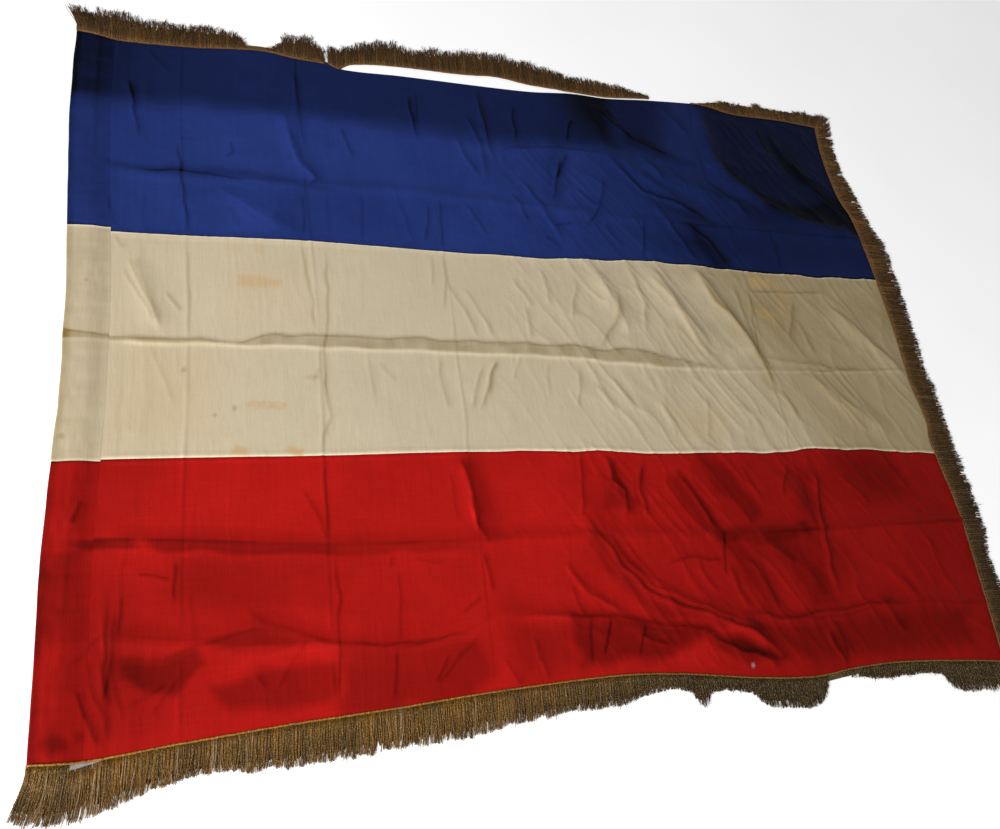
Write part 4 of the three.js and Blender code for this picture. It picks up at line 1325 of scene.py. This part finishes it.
def gathered(strip, along, layer, random):
    """The cord that each thread is gathered into: its middle, how far off that is, and its number."""
    start, stop = strip["from"], strip["to"]
    cords = start + np.cumsum(random.uniform(*CORD_WIDTH, int((stop - start) / CORD_WIDTH[0])))
    cord = np.searchsorted(cords, along)
    low, high = np.concatenate([[start], cords])[cord], np.concatenate([cords, [stop]])[cord]
    middle = (low + high) / 2 + 0.6 * (layer - 0.5)
    return middle, np.abs(along - middle) / (high - low + 0.5) * 2, cord, len(cords) + 2


def thread_run(strip, along, middle, length, tuft_shift, stray, s, random):
    """Where each thread runs along the braid, from root to end, and the phase of its curl."""
    count, tousle = len(along), strip["tousle"]
    gather = strip["gather"] * random.uniform(0.5, 1.4, count)
    lean = strip["lean"](along) + tuft_shift * length * 0.03 * tousle
    lean += random.normal(0, 0.05, count) * length * tousle
    bend = random.normal(0, 1.5, count) * tousle
    phase = random.uniform(0, 6.28, count)[:, None]
    run = along[:, None] + lean[:, None] * s ** 1.4 + ((middle - along) * gather)[:, None] * smooth(s * 3)
    run = run + bend[:, None] * np.sin(np.pi * s * 2.2 + phase) * s
    return run + np.where(stray, random.normal(0, 4, count), 0)[:, None] * s ** 2, phase


def thread_height(strip, along, layer, out, stray, phase, s, random):
    """Each thread's height: off the braid, and down to the surface or to the threads below it."""
    high = strip["base"](along)[:, None] + BRAID_HEIGHT - 0.2 + 0.7 * layer[:, None]
    piled = 1.7 * layer[:, None] * (0.4 + 0.6 * random.random(len(along)))[:, None]
    resting = THREAD_RADIUS + 0.1 + piled
    height = high + (resting - high) * smooth(np.clip(out / THREAD_DROP, 0, 1))
    lifted = np.where(stray, random.uniform(0, 3, len(along)), 0)[:, None] * s ** 2
    return np.maximum(height + lifted + 0.35 * np.sin(5 * s + phase) * s, THREAD_RADIUS)


def threads(strip, random):
    """Ragged threads from a braid, gathered in cords and tufts. Each has its own length, tone and curl."""
    start, stop = strip["from"], strip["to"]
    count = int((stop - start) / THREAD_SPACING * strip["density"] * 2)
    along = np.sort(random.uniform(start + 1, stop - 1, count))
    layer = random.integers(0, 3, count) / 2
    length, keep, tuft_shift, stray = thread_lengths(strip, along, random)
    kept = (values[keep] for values in (along, layer, length, tuft_shift, stray))
    along, layer, length, tuft_shift, stray = kept
    count = len(along)
    middle, off_middle, cord, cords = gathered(strip, along, layer, random)
    cord_tone = random.random(cords)[cord]
    length = length * (1 + 0.05 * strip["ragged"] * (2 * random.random(cords)[cord] - 1))
    s = np.linspace(0, 1, THREAD_STEPS)[None, :]
    run, phase = thread_run(strip, along, middle, length, tuft_shift, stray, s, random)
    root = np.full((count, 1), strip["inner"] + 2.4)
    root[:, 0] += 7 * bald_share(strip, along)
    out = root + (length[:, None] - root) * s
    height = thread_height(strip, along, layer, out, stray, phase, s, random)
    x, y = strip["place"](run, out)
    radius = THREAD_RADIUS * random.uniform(0.75, 1.2, count)[:, None] * (1 - 0.35 * s ** 2)
    # painted shade between the cords: a thread is darker the further it is from its cord's middle; the rest
    # is each thread's own tone
    tone = np.clip(0.65 * cord_tone + 0.5 * random.random(count) - 0.45 * off_middle + 0.1, 0, 1)
    marks = fringe_marks(x.shape, tone[:, None], s, strip["dull"](along)[:, None])
    return tubes(np.stack([x, y, height], axis=-1), np.broadcast_to(radius, x.shape), 3, marks)


def braid(strip):
    """The flat woven heading of the fringe, its two edges rounded, slightly uneven along its length."""
    start, stop = strip["from"], strip["to"]
    along = np.linspace(start, stop, int((stop - start) / BRAID_STEP))
    base = strip["base"](along)
    rows = []
    for across, height in BRAID_SECTION:
        uneven = 0.35 * noise(along, along * 0 + across * 40, 9, strip["seed"])
        x, y = strip["place"](along, strip["inner"] + (strip["lip"] - strip["inner"]) * across + uneven)
        knots = 0.12 * np.sin(along * 2 * np.pi / 4.8 + across * 9) * (height > 0.5)
        rows.append(np.stack([x, y, base + height + knots], axis=-1))
    dull = 0.3 + 0.7 * strip["dull"](along)[:, None]
    bare = bald_share(strip, along)[:, None] > 0.04
    return swept(np.stack(rows, axis=1), fringe_marks((len(along), len(rows)), 0.6, 0, dull, bare))


def cord_line(strip):
    """A twisted gilt cord sewn along the braid."""
    radius, gilt = DARK_CORD if strip["dark"] else BRIGHT_CORD
    along = np.arange(strip["from"] + 0.5, strip["to"] - 0.5, CORD_STEP)
    across = strip["inner"] + 1.2 + 0.25 * noise(along, along * 0, 7, strip["seed"] + 1)
    x, y = strip["place"](along, across)
    height = strip["base"](along) + BRAID_HEIGHT + 0.15 + 0.12 * np.sin(along * 2.9)
    thick = radius * (1 + 0.16 * np.sin(along * 1.9))[None]
    tone = gilt + 0.14 * np.sin(along * 1.3)[None]
    marks = fringe_marks((1, len(along)), tone, -0.5, 0.5 * strip["dull"](along)[None])
    return tubes(np.stack([x, y, height], axis=-1)[None], thick, 5, marks)


def top_place(along, out):
    return along, top_edge(along) + out


def top_fly_place(along, out):
    """This strip comes out from under the edge little by little."""
    return along, top_edge(along) + out * (0.15 + 0.85 * smooth((along - 1217) / 80))


def bottom_place(along, out):
    return along, bottom_edge(along) - out


def fly_place(along, out):
    return fly_edge(along) + out, along


def loose_place(along, out):
    return along, loose_line(along) + out


def bottom_lean(along):
    return spread_at(0, -14, 90)(along) + spread_at(1560, 32, 80)(along) - 3


def fly_lean(along):
    return spread_at(1204, 26, 70)(along) + spread_at(-6, -30, 70)(along)


PLAIN_STRIP = {"inner": BRAID_INNER, "lip": BRAID_LIP, "ragged": 1.0, "tousle": 1, "gather": 0.62,
               "density": 1, "notches": (), "bald": (), "dull": none}
FRINGES = [{**PLAIN_STRIP, **strip} for strip in (
    {"name": "fringe_top_hoist", "nodes": ("fringe_top_sleeve", "fringe_top_hoist"), "from": -1, "to": 426,
     "place": top_place, "reach": lambda a: top_tips(a) - top_edge(a), "lean": spread_at(0, -16, 80),
     "base": braid_base, "seed": 101, "ragged": 2.0, "tousle": 2.2, "gather": 0.8, "dark": True},
    {"name": "fringe_top_loose", "nodes": ("fringe_top_loose",), "from": 431, "to": 1115,
     "place": loose_place, "reach": lambda a: loose_tips(a) - loose_line(a), "lean": none,
     "base": lambda a: ON_CLOTH * smooth((470 - a) / 12), "seed": 102, "inner": 0.0, "lip": 9.0,
     "ragged": 1.7, "tousle": 1.6, "dark": True},
    {"name": "fringe_top_fly", "nodes": ("fringe_top_fly",), "from": 1217, "to": 1553,
     "place": top_fly_place, "reach": lambda a: top_fly_tips(a) - top_edge(a),
     "lean": spread_at(1553, 30, 60), "base": braid_base, "seed": 103, "ragged": 1.8, "tousle": 2.6,
     "density": 1.5, "dark": True},
    {"name": "fringe_fly", "nodes": ("fringe_fly",), "from": -6, "to": 1204,
     "place": fly_place, "reach": lambda a: fly_tips(a) - fly_edge(a), "lean": fly_lean,
     "base": lambda a: np.full(np.shape(a), ON_CLOTH), "seed": 104, "ragged": 0.9, "tousle": 0.7,
     "notches": ((1166, 1.4), (1069, 2.0), (993, 2.2), (962, 1.2)), "dark": True,
     "dull": lambda a: 0.35 * smooth((620 - a) / 300)},
    {"name": "fringe_bottom", "nodes": ("fringe_bottom_sleeve", "fringe_bottom"), "from": -1, "to": 1560,
     "place": bottom_place, "reach": lambda a: bottom_edge(a) - bottom_tips(a), "lean": bottom_lean,
     "base": braid_base, "seed": 105, "ragged": 1.0, "dark": False,
     "bald": ((47, 86),), "dull": lambda a: 0.85 * smooth((a - 560) / 420) + 0.3 * smooth((90 - a) / 60)},
)]

DARK_GOLD = bullion("tarnished_fringe", colour(120, 78, 27), colour(50, 31, 11), colour(128, 104, 62),
                    worn_share=0.06, bright=0.3)
GOLD = bullion("gilt_fringe", colour(150, 100, 26), colour(64, 42, 15), colour(136, 126, 108),
               worn_share=0.10, bright=0.6)


def fringe(strip):
    random = np.random.default_rng(strip["seed"])
    parts = [threads(strip, random), mat(strip, random), braid(strip), cord_line(strip)]
    made = mesh_object(strip["name"] + "_threads", *joined(parts))
    made.data.materials.append(DARK_GOLD if strip["dark"] else GOLD)
    return made


fringes = {strip["name"]: fringe(strip) for strip in FRINGES}

# ---------------------------------------------------------------- the sleeve's stitches

STITCH = 3.2
STITCH_GAP = 1.0
STITCH_INSET = 2.6
STITCH_RADIUS = 0.18
STITCH_RISE = 0.04
STITCH_PULL = 1.6            # how sharply each stitch dips at its ends


def hem_stitches(name, low, high, material):
    """A line of machine stitches along the sewn edge of the sleeve, each drawn down at its ends."""
    middle_y = np.arange(low + 4, high - 4, STITCH + STITCH_GAP)
    reach = np.array([-0.5, -0.3, 0.0, 0.3, 0.5])
    y = middle_y[:, None] + reach * STITCH
    x = np.full(y.shape, HEM_EDGE - STITCH_INSET)
    height = hem_height(x) + CLOTH / 2 + STITCH_RISE - STITCH_PULL * np.abs(reach) ** 2
    path = np.stack([*to_cloth(x, y, x / HEM_EDGE), np.broadcast_to(height, y.shape)], axis=-1)
    parts = tubes(path, np.full(y.shape, STITCH_RADIUS), 4)
    made = mesh_object(name, *parts[:3])
    made.data.materials.append(material)
    return made


def sewing_thread(name, tint, aged):
    s = Shader(name)
    plied = s.bumped(s.wave(520, "DIAGONAL"), 0.0001, 0.6)
    worn = s.ranged(s.noise(s.place, 300), 0.3, 0.7, 0.0, 0.35)
    base_colour = s.mixed(worn, tint, aged)
    return s.finish(Base_Color=base_colour, Roughness=s.ranged(worn, 0, 0.35, 0.7, 0.9), Normal=plied,
                    Specular_IOR_Level=0.0)


RED_THREAD = sewing_thread("red_thread", colour(120, 14, 12), colour(84, 12, 10))
CREAM_THREAD = sewing_thread("cream_thread", colour(204, 192, 162), colour(176, 160, 120))
BLUE_THREAD = sewing_thread("blue_thread", colour(24, 36, 88), colour(14, 20, 48))
STITCHES = [
    ("stitches_red", -4, 396, "red_satin", RED_THREAD),
    ("stitches_white", 401, 788, "cream_satin", CREAM_THREAD),
    ("stitches_blue", 798, 1196, "blue_satin", BLUE_THREAD),
]

BAND_PIECES = ((red_band, "band_red", "red_satin"), (white_band, "band_white", "cream_satin"),
               (blue_band, "band_blue", "blue_satin"))
for piece, node, slot in BAND_PIECES:
    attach(piece, "root")
    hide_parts(node)
for strip in FRINGES:
    piece = fringes[strip["name"]]
    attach(piece, "root")
    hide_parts(*strip["nodes"])
for name, low, high, slot, material in STITCHES:
    piece = hem_stitches(name, low, high, material)
    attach(piece, "root")

# ---------------------------------------------------------------- floor, light and camera

FLOOR_SIZE = 14
FLOOR_DROP = 0.0004


def make_floor():
    mesh = bpy.data.meshes.new("floor")
    half = FLOOR_SIZE / 2
    corners = [(x * half, y * half, -FLOOR_DROP) for x, y in ((-1, -1), (1, -1), (1, 1), (-1, 1))]
    mesh.from_pydata(corners, [], [(0, 1, 2, 3)])
    made = bpy.data.objects.new("floor", mesh)
    bpy.context.scene.collection.objects.link(made)
    s = Shader("pale_floor")
    grain = s.ranged(s.noise(s.place, 3, 4), 0.3, 0.7, 0.86, 0.9)
    mesh.materials.append(s.finish(Base_Color=s.grey(grain), Roughness=0.9, Specular_IOR_Level=0.1,
                                   Emission_Color=(1, 1, 1, 1), Emission_Strength=0.2))


def area_light(name, place, target, size, power):
    data = bpy.data.lights.new(name, "AREA")
    data.shape = "DISK"
    data.size = size
    data.energy = power
    made = bpy.data.objects.new(name, data)
    made.location = place
    aim = Vector(target) - Vector(place)
    made.rotation_euler = aim.to_track_quat("-Z", "Y").to_euler()
    bpy.context.scene.collection.objects.link(made)


CAMERA_PLACE = Vector((-0.628, -0.747, 1.301))
CAMERA_RIGHT = Vector((0.9448, -0.1341, 0.2988))
CAMERA_UP = Vector((-0.0054, 0.9058, 0.4236))
CAMERA_LENS = 33.1
SENSOR_WIDTH = 36


def make_camera():
    data = bpy.data.cameras.new("camera")
    data.sensor_width = SENSOR_WIDTH
    data.lens = CAMERA_LENS
    made = bpy.data.objects.new("camera", data)
    back = CAMERA_RIGHT.cross(CAMERA_UP).normalized()
    up = back.cross(CAMERA_RIGHT).normalized()
    turn = Matrix((CAMERA_RIGHT.normalized(), up, back)).transposed()
    made.matrix_world = Matrix.Translation(CAMERA_PLACE) @ turn.to_4x4()
    bpy.context.scene.collection.objects.link(made)
    bpy.context.scene.camera = made


def make_world(strength):
    world = bpy.data.worlds.new("studio")
    world.use_nodes = True
    background = world.node_tree.nodes["Background"]
    background.inputs["Color"].default_value = (1, 1, 1, 1)
    background.inputs["Strength"].default_value = strength
    bpy.context.scene.world = world


make_floor()
make_camera()
make_world(strength=0.50)
area_light("key", place=(-2.2, -1.15, 1.25), target=(0, -0.1, 0), size=0.8, power=78)
area_light("fill", place=(0.6, -2.2, 2.2), target=(0, 0, 0), size=2.0, power=12)

settings = bpy.context.scene.view_settings
settings.view_transform = "Standard"
settings.look = "None"
